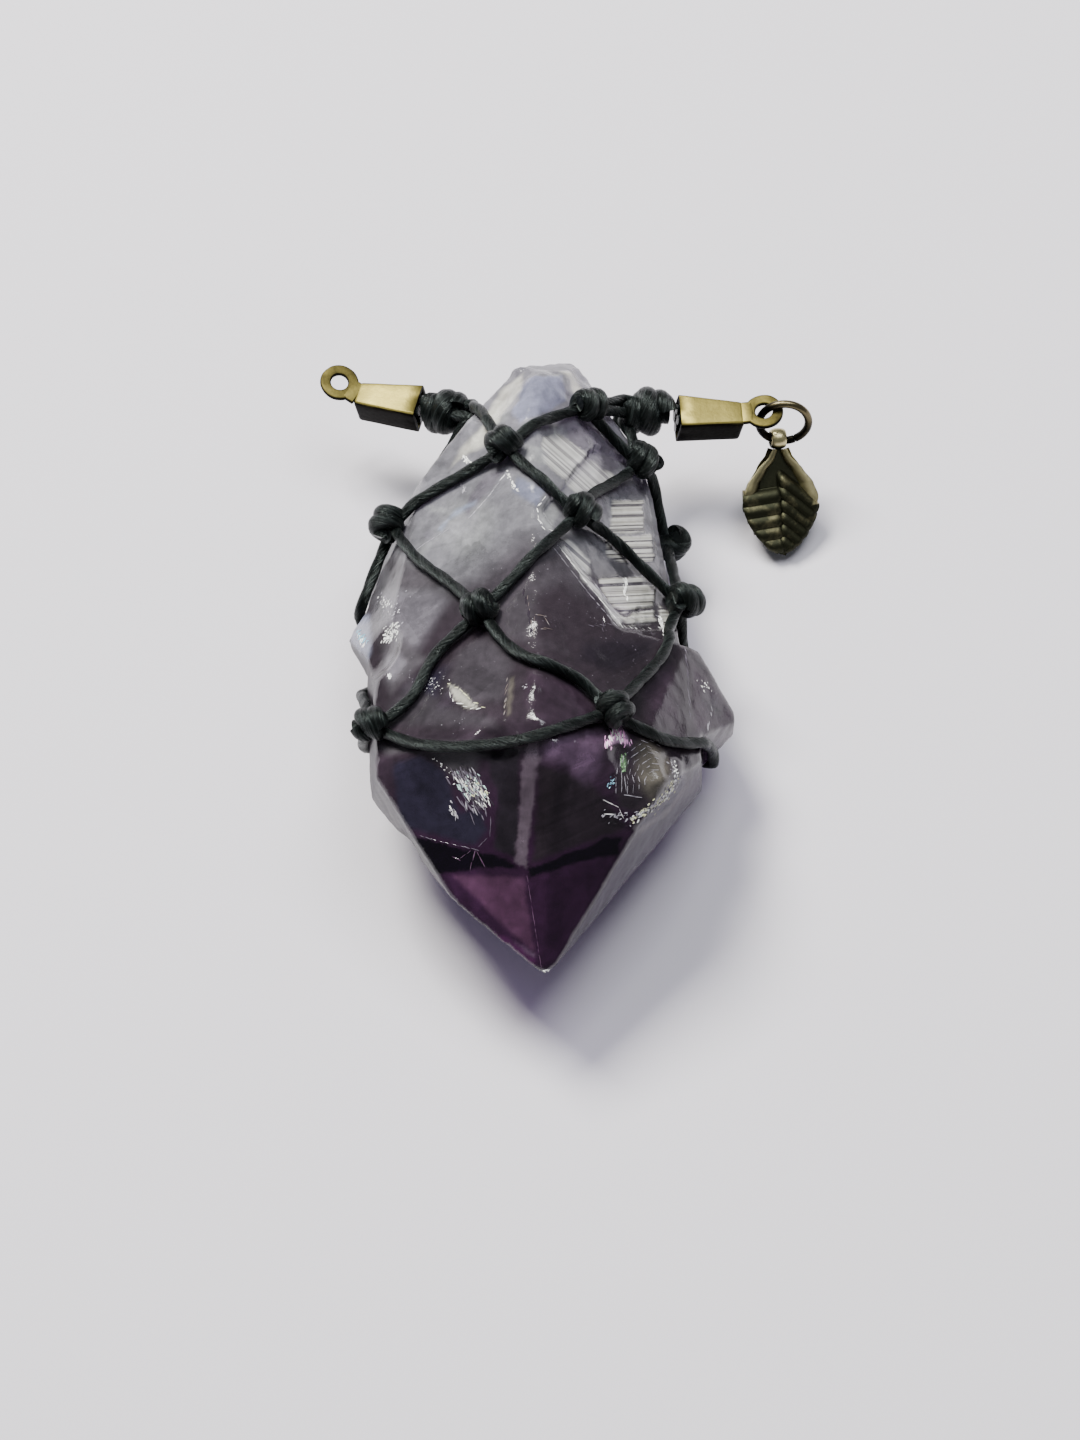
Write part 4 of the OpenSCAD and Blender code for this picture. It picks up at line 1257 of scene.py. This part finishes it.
def pulled_tight(points, lift, times):
    """The line after the pull is smoothed this often and kept out of the stone each time."""
    for _ in range(times):
        inner = [(a + 2 * b + c) / 4 for a, b, c in zip(points, points[1:], points[2:])]
        points = [points[0]] + [off_stone(p, lift) for p in inner] + [points[-1]]
    return points


knot_seats, heights = [], []
for name in KNOT_NAMES:
    middle = node_middle(name)
    away = middle - stone_tree.find_nearest(middle)[0]
    knot_seats.append((middle, away.normalized()))
    heights.append(round(away.length, 2))
print("Knots stand above the stone by, in mm:", heights)

# %% [markdown]
# ## The net
# Each cord goes from the rim to one of the gather knots, from knot to knot. Two cords meet in
# each knot, so a cord enters its knot a little beside the middle and low over the stone.

# %% The net
CORD_LIFT = CORD_R + 0.02
KNOT_DROP = 0.55
# Middle, turn and rise of each gather knot
GATHERS = {LEFT: ((-9.4, 21.8, 7.9), -15, 10), RIGHT: ((6.2, 21.7, 8), 184, 10)}
GATHER_LENGTH = 3.5
# Where each cord sits in its gather knot, sideways and up, in steps
SEATS = [(1, -1), (-1, -1), (-1, 1), (-1, 1), (1, -1), (-1, -1), (1, 1), (1, 1)]
SEAT_STEP = 0.6
# Share of the spread that is left in the middle of a gather knot
INNER_SPREAD = 0.7
# Step of the line that is pulled tight, and how often the pull is repeated
PULL_STEP, PULLS_FREE, PULLS_ON_STONE = 0.7, 8, 10


def way_between(a, b):
    """The places between two knots, in the order of travel."""
    for first, last, stops in WAYS:
        if (first, last) == (a, b):
            return stops
        if (first, last) == (b, a):
            return stops[::-1]
    return []


def knot_door(k):
    """The place inside a knot where its cords meet."""
    middle, out = knot_seats[k]
    return middle - KNOT_DROP * out


def to_gather(k, side, seat):
    """The line from a knot into the mouth of a gather knot."""
    at, turn, rise = GATHERS[side]
    frame_of = moved(turn, -rise, at=at)
    y, z = (share * SEAT_STEP for share in seat)
    mouth = frame_of @ Vector((GATHER_LENGTH / 2 + 0.5, y, z))
    inner = frame_of @ Vector((0, y * INNER_SPREAD, z * INNER_SPREAD))
    way = even([knot_door(k), mouth], PULL_STEP)
    return pulled_tight(way, CORD_LIFT, PULLS_FREE) + [inner]


def net_line(k, m):
    """The line from one knot to the next one, tight on the stone."""
    stops = [on_skin(s, a, CORD_LIFT) for s, a in way_between(k, m)]
    way = even([knot_door(k)] + stops + [knot_door(m)], PULL_STEP)
    return pulled_tight(way, CORD_LIFT, PULLS_ON_STONE)


def cord_lines(stops, seat):
    """The lines of one cord, from stop to stop."""
    lines = []
    for a, b in zip(stops, stops[1:]):
        lines.append(to_gather(a, b, seat) if b in GATHERS else net_line(a, b))
    return lines


def length_of(line):
    """The length of a line of points."""
    return sum((b - a).length for a, b in zip(line, line[1:]))


for i, (stops, seat) in enumerate(zip(CORDS, SEATS), 1):
    lines = cord_lines(stops, seat)
    name = f"net_strand_{i}"
    show(strands(name, lines, start=i), name, waxed_cord, "waxed_cord", f"net_cord_{i}")
    print(name, "visible length in mm:", round(sum(length_of(line) for line in lines), 1))
rim_lines = cord_lines(RIM, None)
show(strands("net_rim_strand", rim_lines), "net_rim_strand", waxed_cord, "waxed_cord", "net_rim")
print("net_rim_strand visible length in mm:", round(sum(length_of(line) for line in rim_lines), 1))

# %% [markdown]
# ## The knots
# Each knot is an overhand knot in two cords, pulled hard. From outside it is a short barrel of
# two or three fat slanted wraps, thickest in the middle. A helix with a round belly gives the
# wraps, and a short core of the same cord fills the inside. Where a knot rests on the table its
# points are pressed flat, as the weight of the stone does it.

# %% The knots
KNOT_LENGTH, KNOT_HEIGHT = 3.0, 2.7
WRAPS, WRAP_R = 2.1, 0.62
# Lean of the wraps, in mm
WRAP_LEAN, GATHER_LEAN = 0.3, 0.25
TURN_POINTS = 20
# Share of the height that is lost at the ends of a barrel
TAPER = 0.3
WRAP_TWIST, WRAP_STEP = 7, 0.15
# How far the core sticks out of the wraps
CORE_OUT = 0.3


def barrel(length, height, cord, slant, start):
    """A coil round the x axis, thickest in the middle, that fills the length and the height."""
    line = []
    count = int(WRAPS * TURN_POINTS)
    for i in range(count + 1):
        t = i / count
        angle = start + 2 * math.pi * WRAPS * t
        r = (height / 2 - cord) * (1 - TAPER * (2 * t - 1) ** 2)
        x = (t - 0.5) * (length - 2 * cord) + slant * math.cos(angle) * (1 - abs(2 * t - 1))
        line.append(Vector((x, r * math.cos(angle), r * math.sin(angle))))
    return line


def knot_place(k):
    """The frame of a knot: x along its barrel, z away from the stone."""
    middle, out = knot_seats[k]
    across = Vector((0, 1, 0)).cross(out).normalized()
    along = Matrix.Rotation(math.radians(KNOT_TURNS[k]), 3, out) @ across
    side = out.cross(along)
    return Matrix.Translation(middle) @ Matrix((along, side, out)).transposed().to_4x4()


def tied(name, place, coil, radius, start):
    """Wraps of fat cord round a core of the same cord, at the place."""
    low, high = coil[0].x - CORE_OUT, coil[-1].x + CORE_OUT
    core = [Vector((low, 0, 0)), Vector((0, 0, 0)), Vector((high, 0, 0))]
    lines = [[place @ p for p in coil], [place @ p for p in core]]
    mesh = strands(name, lines, radius=radius, twist=WRAP_TWIST, step=WRAP_STEP, start=start)
    for v in mesh.vertices:
        v.co.z = max(v.co.z, 0)
    return mesh


for k, name in enumerate(KNOT_NAMES):
    dice = random.Random(k)
    slant = dice.choice((-WRAP_LEAN, WRAP_LEAN))
    coil = barrel(KNOT_LENGTH, KNOT_HEIGHT, WRAP_R, slant, dice.uniform(0, 6))
    made = tied(name, knot_place(k), coil, WRAP_R, k)
    show(made, name + "_wraps", waxed_cord, "waxed_cord", name)

# Length, height and shift. The right knot is longer than the left one, towards the stone.
GATHER_SIZES = {LEFT: (3.7, 3.7, 0.1), RIGHT: (4.5, 3.9, 0.45)}
GATHER_WRAP_R = 0.92
for side, (at, turn, rise) in GATHERS.items():
    length, height, shift = GATHER_SIZES[side]
    coil = barrel(length, height, GATHER_WRAP_R, GATHER_LEAN, 1.0)
    place = moved(turn, -rise, at=at) @ Matrix.Translation((shift, 0, 0))
    made = tied("gather_" + side, place, coil, GATHER_WRAP_R, 0)
    show(made, f"gather_{side}_wraps", waxed_cord, "waxed_cord", f"gather_knot_{side}")
print("Knots tied:", len(KNOT_NAMES) + len(GATHERS))

# %% [markdown]
# ## Antique brass
# The cord ends and the leaf are brass that was blackened and then rubbed bright again, so the
# hollows stay dark and the high places shine. Each piece says with the attribute "worn" where
# the metal is rubbed bright. On the cord ends, the ring and the leaf it also says where painted
# light lies: lit tops, shaded sides and painted highlights. The patina is thicker and rougher,
# and fine scratches break up the shine.

# %% Antique brass
# Size of the stains and of the scratches, which are drawn coarser than on the metal
STAIN, SCRATCH = 1.1, 0.35
# How much the stains break up the rubbing, and how deep the scratches go
STAIN_SHARE, SCRATCH_DEPTH = 0.45, 0.05


def brass_finish(name, patina, rubbed, dull, bright):
    """Brass with a dark patina where the attribute worn is low, and bright where it is high, from rubbing and
    from painted light.
    """
    material, tree, shader = new_finish(name)
    place = add_node(tree, "ShaderNodeTexCoord").outputs["Object"]
    worn = add_node(tree, "ShaderNodeAttribute", attribute_name="worn").outputs["Fac"]
    stain = add_node(
        tree,
        "ShaderNodeTexNoise",
        {"Vector": place, "Scale": 1 / (STAIN * MM), "Detail": 5, "Roughness": 0.65},
    )
    rubbed_and_lit = add_node(
        tree,
        "ShaderNodeMath",
        {0: stain.outputs["Fac"], 1: STAIN_SHARE, 2: worn},
        operation="MULTIPLY_ADD",
    )
    share = add_node(
        tree, "ShaderNodeMapRange", {"Value": rubbed_and_lit.outputs[0], "From Min": 0.2, "From Max": 1}
    ).outputs[0]
    colour = add_node(
        tree, "ShaderNodeMix", {0: share, 6: linear(patina), 7: linear(rubbed)}, data_type="RGBA"
    )
    rough = add_node(tree, "ShaderNodeMapRange", {"Value": share, "To Min": dull, "To Max": bright})
    scratches = add_node(
        tree,
        "ShaderNodeTexNoise",
        {"Vector": place, "Scale": 1 / (SCRATCH * MM), "Detail": 4, "Roughness": 0.7},
    )
    relief = add_node(
        tree,
        "ShaderNodeBump",
        {"Height": scratches.outputs["Fac"], "Distance": SCRATCH_DEPTH * MM, "Strength": 0.5},
    )
    tree.links.new(colour.outputs[2], shader.inputs["Base Color"])
    tree.links.new(rough.outputs[0], shader.inputs["Roughness"])
    tree.links.new(relief.outputs[0], shader.inputs["Normal"])
    shader.inputs["Metallic"].default_value = 1
    return material


antique_brass = brass_finish("brass, blackened and rubbed", "#0d0b08", "#9c9050", 0.62, 0.52)
leaf_brass = brass_finish("brass, cast, blackened and tumbled", "#2a2b20", "#c9bf90", 0.52, 0.36)
dark_wire = brass_finish("brass wire, oxidised", "#0b0a0a", "#6f664c", 0.42, 0.3)


def rubbed(mesh, measure):
    """Writes how bright each point of the mesh is: rubbed, and on some pieces painted light."""
    layer = mesh.attributes.new("worn", "FLOAT", "POINT")
    layer.data.foreach_set("value", [measure(v.co / MM, v.normal) for v in mesh.vertices])


def joined(bodies, name, place):
    """Several meshes in millimetres as one piece in metres."""
    whole = bmesh.new()
    for mesh in bodies:
        whole.from_mesh(mesh)
    return mesh_of(whole, name, place)


def sheet_of(bm, *steps):
    """The mesh of a bmesh after the modifiers, if there are any, each as (kind, settings)."""
    mesh = bpy.data.meshes.new("sheet")
    bm.to_mesh(mesh)
    bm.free()
    for kind, settings in steps:
        mesh = with_modifier(mesh, kind, **settings)
    return mesh


print("Metals:", antique_brass.name, "|", leaf_brass.name, "|", dark_wire.name)

# %% [markdown]
# ## The cord ends
# Each cord end is cut from brass sheet. The sides of a box fold down round the cut cords and
# meet in a seam below, and a neck carries a flat eye. A cube makes the box: its open end is
# taken away, a slit is cut below, the folds are bevelled round, and Solidify gives the sheet
# its thickness. The eye is a section with round corners, spun round the hole.

# %% The cord ends
BOX_L, BOX_W, NECK_END_W, BOX_H, SHEET_T = 4.9, 2.9, 2.0, 2.4, 0.3
EYE_D, EYE_HOLE_D, EYE_T, EYE_OUT, NECK_W = 2.9, 1.3, 0.4, 1.45, 1.8
FOLD_R = 0.32
SEAM = 0.3
# Sharp edges of the sheet, of the eye and of the neck are rounded by this much
EDGE_R, EYE_EDGE_R, NECK_EDGE_R = 0.05, 0.13, 0.1
# Where the neck starts and ends, from the middle of the eye. Its end lies inside the box.
NECK_START, NECK_END = 0.8, 1.75
# Size of the dents from handling
DENT = 0.03
NEAR = 0.01
# Neck on the flat back, turn and rise of the box, turn and rise of the eye
CRIMPS = {
    LEFT: ((-16, 23.5, 8), -15, 10, -32, -10),
    RIGHT: ((13.1, 21.7, 8), 184, 10, 184, -2),
}


def rounded_by(bm, geom, radius, segments, affect="EDGES"):
    """Rounds the edges, or the corners, of a bmesh."""
    look = {"offset": radius, "segments": segments, "profile": 0.5, "affect": affect}
    bmesh.ops.bevel(bm, geom=geom, material=-1, **look)


def spun(bm, axis, angle, steps, **more):
    """Spins everything in a bmesh round an axis through the middle."""
    section = bm.verts[:] + bm.edges[:]
    bmesh.ops.spin(bm, geom=section, cent=(0, 0, 0), axis=axis, angle=angle, steps=steps, **more)


def folded_box():
    """The sheet folded round the cords, open at one end, with a seam below."""
    bm = bmesh.new()
    bmesh.ops.create_cube(bm, size=1)
    for v in bm.verts:
        far = v.co.x > 0
        width = BOX_W if far else NECK_END_W
        v.co = (BOX_L if far else 0, v.co.y * width, 0 if v.co.z > 0 else -BOX_H)
    mouth = [f for f in bm.faces if all(v.co.x > BOX_L - NEAR for v in f.verts)]
    bmesh.ops.delete(bm, geom=mouth, context="FACES_ONLY")
    for y in (-SEAM / 2, SEAM / 2):
        floor = [f for f in bm.faces if all(v.co.z < -BOX_H + NEAR for v in f.verts)]
        edges = list({e for f in floor for e in f.edges})
        verts = list({v for f in floor for v in f.verts})
        parts = floor + edges + verts
        bmesh.ops.bisect_plane(bm, geom=parts, plane_co=(0, y, 0), plane_no=(0, 1, 0))
    middles = [(f, f.calc_center_median()) for f in bm.faces]
    slit = [f for f, at in middles if abs(at.y) < SEAM / 4 and at.z < -BOX_H + NEAR]
    bmesh.ops.delete(bm, geom=slit, context="FACES_ONLY")
    folds = [e for e in bm.edges if len(e.link_faces) == 2 and e.calc_face_angle() > 0.8]
    rounded_by(bm, folds, FOLD_R, 4)
    bmesh.ops.recalc_face_normals(bm, faces=bm.faces)
    return sheet_of(
        bm,
        ("SOLIDIFY", {"thickness": SHEET_T, "offset": -1}),
        ("BEVEL", {"width": EDGE_R, "segments": 2, "limit_method": "ANGLE"}),
        ("SUBSURF", {"subdivision_type": "SIMPLE", "levels": 2, "render_levels": 2}),
    )


def flat_eye():
    """A flat ring with round corners, spun from its section."""
    bm = bmesh.new()
    bmesh.ops.create_grid(bm, x_segments=1, y_segments=1, size=0.5)
    ring_w = (EYE_D - EYE_HOLE_D) / 2
    for v in bm.verts:
        v.co = (EYE_HOLE_D / 2 + ring_w * (v.co.x + 0.5), 0, EYE_T * (v.co.y - 0.5))
    rounded_by(bm, bm.verts[:], EYE_EDGE_R, 3, "VERTICES")
    bmesh.ops.delete(bm, geom=bm.faces[:], context="FACES_ONLY")
    spun(bm, (0, 0, 1), 2 * math.pi, 48, use_merge=True)
    return sheet_of(bm)


def neck():
    """The flat strip from the eye to the box."""
    bm = bmesh.new()
    bmesh.ops.create_cube(bm, size=1)
    for v in bm.verts:
        x = NECK_START + (NECK_END - NECK_START) * (v.co.x + 0.5)
        v.co = (x, NECK_W * v.co.y, EYE_T * (v.co.z - 0.5))
    rounded_by(bm, bm.edges[:], NECK_EDGE_R, 2)
    return sheet_of(bm)


for side, (at, turn, rise, eye_turn, eye_rise) in CRIMPS.items():
    box_place = moved(turn, -rise, at=at)
    eye_place = moved(eye_turn, -eye_rise, at=at) @ Matrix.Translation((-EYE_OUT, 0, 0))
    boxes = [joined([folded_box()], "box", Matrix.Scale(1 / MM, 4) @ box_place)]
    eyes = [joined([flat_eye(), neck()], "eye", Matrix.Scale(1 / MM, 4) @ eye_place)]
    made = joined(boxes + eyes, "crimp_" + side, None)
    up = (box_place.to_3x3() @ Vector((0, 0, 1))).normalized()
    for v in made.vertices:
        v.co += v.normal * DENT * MM * noise.noise(v.co / MM * 1.2)
    back = box_place.inverted()

    def rubbed_and_top_lit(p, n):
        """Rubbed bright on the top and blackened on the sides, with painted top light and painted side shade
        over that, and a little duller on the eye.
        """
        on_box = smooth(-0.6, 0.6, (back @ p).x)
        return (0.26 + 0.49 * on_box) * smooth(0.45, 0.9, n.dot(up)) - 0.1 + 0.12 * noise.noise(p * 0.8)

    rubbed(made, rubbed_and_top_lit)
    show(made, f"cord_end_{side}", antique_brass, "antique_brass", f"crimp_{side}")
    print("Cord end", side, "faces:", len(made.polygons))

# %% [markdown]
# ## The cut cords in each end
# The cords are cut to one length and the box is folded down on them, so four round ends show
# in its mouth. Straight strands stand for them, because the box hides the rest. They come a
# little closer together towards the closed end, and they are pressed a little thinner.

# %% The cut cords in each end
CUT_STEP, CUT_R, SQUEEZE = 0.47, 0.42, 0.9
# Where the cords start behind the closed end, and how far they stick out of the mouth
CUT_START, CUT_OUT = 1.4, 0.25
for side, (at, turn, rise, _, _) in CRIMPS.items():
    box_place = moved(turn, -rise, at=at)
    lines = []
    for y in (-CUT_STEP, CUT_STEP):
        for z in (-CUT_STEP, CUT_STEP):
            start = Vector((CUT_START, y * SQUEEZE, z * SQUEEZE - BOX_H / 2))
            end = Vector((BOX_L + CUT_OUT, y, z - BOX_H / 2))
            lines.append([box_place @ start, box_place @ end])
    made = strands("cut_cords_" + side, lines, radius=CUT_R)
    show(made, f"cut_cords_{side}", waxed_cord, "waxed_cord", f"cord_ends_{side}")
    print("Cords in the", side, "end:", len(lines))

# %% [markdown]
# ## The jump ring
# A jump ring is a turn of wire, cut with side cutters and closed, so its two ends touch with a
# fine gap. A round section is spun almost once round, and its two ends are capped and a
# little rounded. The wire is oxidised nearly black, and its upper right carries a painted
# highlight.

# %% The jump ring
RING_D, RING_WIRE, RING_TILT = 4.3, 0.6, 76
RING_AT = Vector((16.07, 21.54, 6.82))
# Width of the gap between the ends, and where it is on the ring
RING_GAP, GAP_TURN = math.radians(4), math.radians(-60)
# The face of each end is drawn in by this much and stands out by this much
CAP_IN, CAP_OUT = 0.06, 0.04
ring_r = (RING_D - RING_WIRE) / 2
highlight_side = Vector((0.55, -0.1, 0.8)).normalized()

bm = bmesh.new()
bmesh.ops.create_circle(bm, cap_ends=False, segments=20, radius=RING_WIRE / 2)
bm.transform(Matrix.Translation((ring_r, 0, 0)) @ Matrix.Rotation(math.pi / 2, 4, "X"))
spun(bm, (0, 0, 1), 2 * math.pi - RING_GAP, 72)
rims = [e for e in bm.edges if len(e.link_faces) == 1]
caps = bmesh.ops.edgeloop_fill(bm, edges=rims)["faces"]
for cap in caps:
    bmesh.ops.inset_region(bm, faces=[cap], thickness=CAP_IN, depth=CAP_OUT)
bm.transform(Matrix.Rotation(GAP_TURN, 4, "Z"))
ring_mesh = mesh_of(bm, "jump_ring", moved(slope=RING_TILT, at=RING_AT))


def ring_highlight(p, n):
    """A painted highlight on the upper right."""
    side = smooth(0.3, 1.0, ((p - RING_AT) / ring_r).dot(highlight_side))
    return 0.75 * side * smooth(-0.2, 0.6, n.z)


rubbed(ring_mesh, ring_highlight)
show(ring_mesh, "jump_ring_wire", dark_wire, "dark_wire", "jump_ring")
print("Jump ring faces:", len(ring_mesh.polygons))

# %% [markdown]
# ## The leaf charm
# The leaf is cast: a broad blade with a rounded rim, a smooth hollow under two raised
# shoulders, a sunk midrib and fat side veins. A grid is drawn to the outline, and each of its
# points is raised by what the casting shows there. Solidify gives the blade its body. The loop
# above it is one wide band with an oval section, spun round the ring's wire.

# %% The leaf charm
LEAF_L, LEAF_T, LEAF_EDGE_R = 7.6, 0.75, 0.14
BAIL_R, BAIL_UP = 0.8, 0.2
BAND_W, BAND_T = 1.15, 0.42
RING_UP = Vector((0, math.cos(math.radians(RING_TILT)), math.sin(math.radians(RING_TILT))))
LEAF_SHIFT = Vector((-0.4, 0, 0))
leaf_place = moved(7, 8, 31.5, RING_AT - (ring_r - BAIL_UP) * RING_UP + LEAF_SHIFT)
VEIN_PITCH = 0.92
# Half of the blade's width along its length
OUTLINE = [
    (0, 0.5), (0.08, 0.8), (0.2, 1.7), (0.34, 2.5), (0.46, 2.85), (0.58, 2.85),
    (0.7, 2.55), (0.82, 2), (0.91, 1.4), (0.96, 0.95), (1, 0.3),
]
# How far the casting's features stand out or lie sunk
VEIN_UP, SHOULDER_UP, HOLLOW_DOWN, DOME_UP = 0.34, 0.3, 0.22, 0.105


def half_width(v):
    """Half of the blade's width at the share v of its length."""
    for (v1, w1), (v2, w2) in zip(OUTLINE, OUTLINE[1:]):
        if v <= v2:
            return w1 + (w2 - w1) * (0.4 * smooth(v1, v2, v) + 0.6 * (v - v1) / (v2 - v1))
    return OUTLINE[-1][1]


def blade_height(u, v):
    """Height of the casting and how bright it is, at shares of the half width and the length: rubbed
    shoulders and vein tops, with painted highlights on the right shoulder and the right rim.
    """
    x = abs(u) * half_width(v)
    # Where the veins start along the blade, and how steep they are, on each side
    start, fall = (0.4, 0.14) if u < 0 else (0.24, 0.8)
    veined = smooth(start - 0.03, start + 0.03, v - fall * x / LEAF_L)
    phase = (v * LEAF_L - fall * x) / VEIN_PITCH - start * LEAF_L / VEIN_PITCH
    wave = abs(math.sin(math.pi * phase)) ** 0.6
    vein = VEIN_UP * wave * smooth(0, 0.1, abs(u)) * (1 - 0.5 * smooth(0.88, 1, abs(u)))
    shoulder = (1 - veined) * smooth(0.62, 0.86, abs(u))
    hollow = -HOLLOW_DOWN * (1 - veined) * (1 - shoulder)
    # Shoulders and vein tops are rubbed bright, and the right shoulder gets more as a painted highlight
    rubbed_and_highlit = (0.34 + 0.45 * (u > 0)) * shoulder - 0.09 + 0.07 * veined * smooth(0.1, 0.3, vein)
    # A painted highlight on the right rim
    if u > 0.8 and 0.42 < v < 0.56:
        rubbed_and_highlit += 0.6 * smooth(0.8, 0.9, u)
    return veined * vein + hollow + SHOULDER_UP * shoulder, rubbed_and_highlit


bm = bmesh.new()
bmesh.ops.create_grid(bm, x_segments=72, y_segments=110, size=1)
heights = bm.verts.layers.float.new("worn")
for vert in bm.verts:
    u, v = vert.co.x, (1 - vert.co.y) / 2
    z, vert[heights] = blade_height(u, v)
    dome = DOME_UP * (1 - u * u) * math.sin(math.pi * min(1, v + 0.1))
    vert.co = (u * half_width(v), -BAIL_R - v * LEAF_L, z + dome)
steep = math.radians(60)
blade = sheet_of(
    bm,
    ("SOLIDIFY", {"thickness": LEAF_T, "offset": -0.2}),
    ("BEVEL", {"width": LEAF_EDGE_R, "segments": 3, "limit_method": "ANGLE", "angle_limit": steep}),
)

bm = bmesh.new()
bmesh.ops.create_circle(bm, cap_ends=False, segments=20, radius=1)
bm.transform(Matrix.Diagonal((BAND_W / 2, BAND_T / 2, 1, 1)))
bm.transform(Matrix.Translation((0, BAIL_R - BAND_T / 2, 0)))
spun(bm, (1, 0, 0), 2 * math.pi, 40, use_merge=True)
loop_highlight = bm.verts.layers.float.new("worn")
for vert in bm.verts:
    # The top of the loop is painted bright: a painted highlight
    vert[loop_highlight] = 1.1 * smooth(0, 0.6, vert.co.z + 0.5 * vert.co.y)
loop = sheet_of(bm)
leaf_mesh = joined([blade, loop], "leaf", leaf_place)
show(leaf_mesh, "leaf", leaf_brass, "antique_brass", "leaf_charm")
print("Leaf faces:", len(leaf_mesh.polygons))
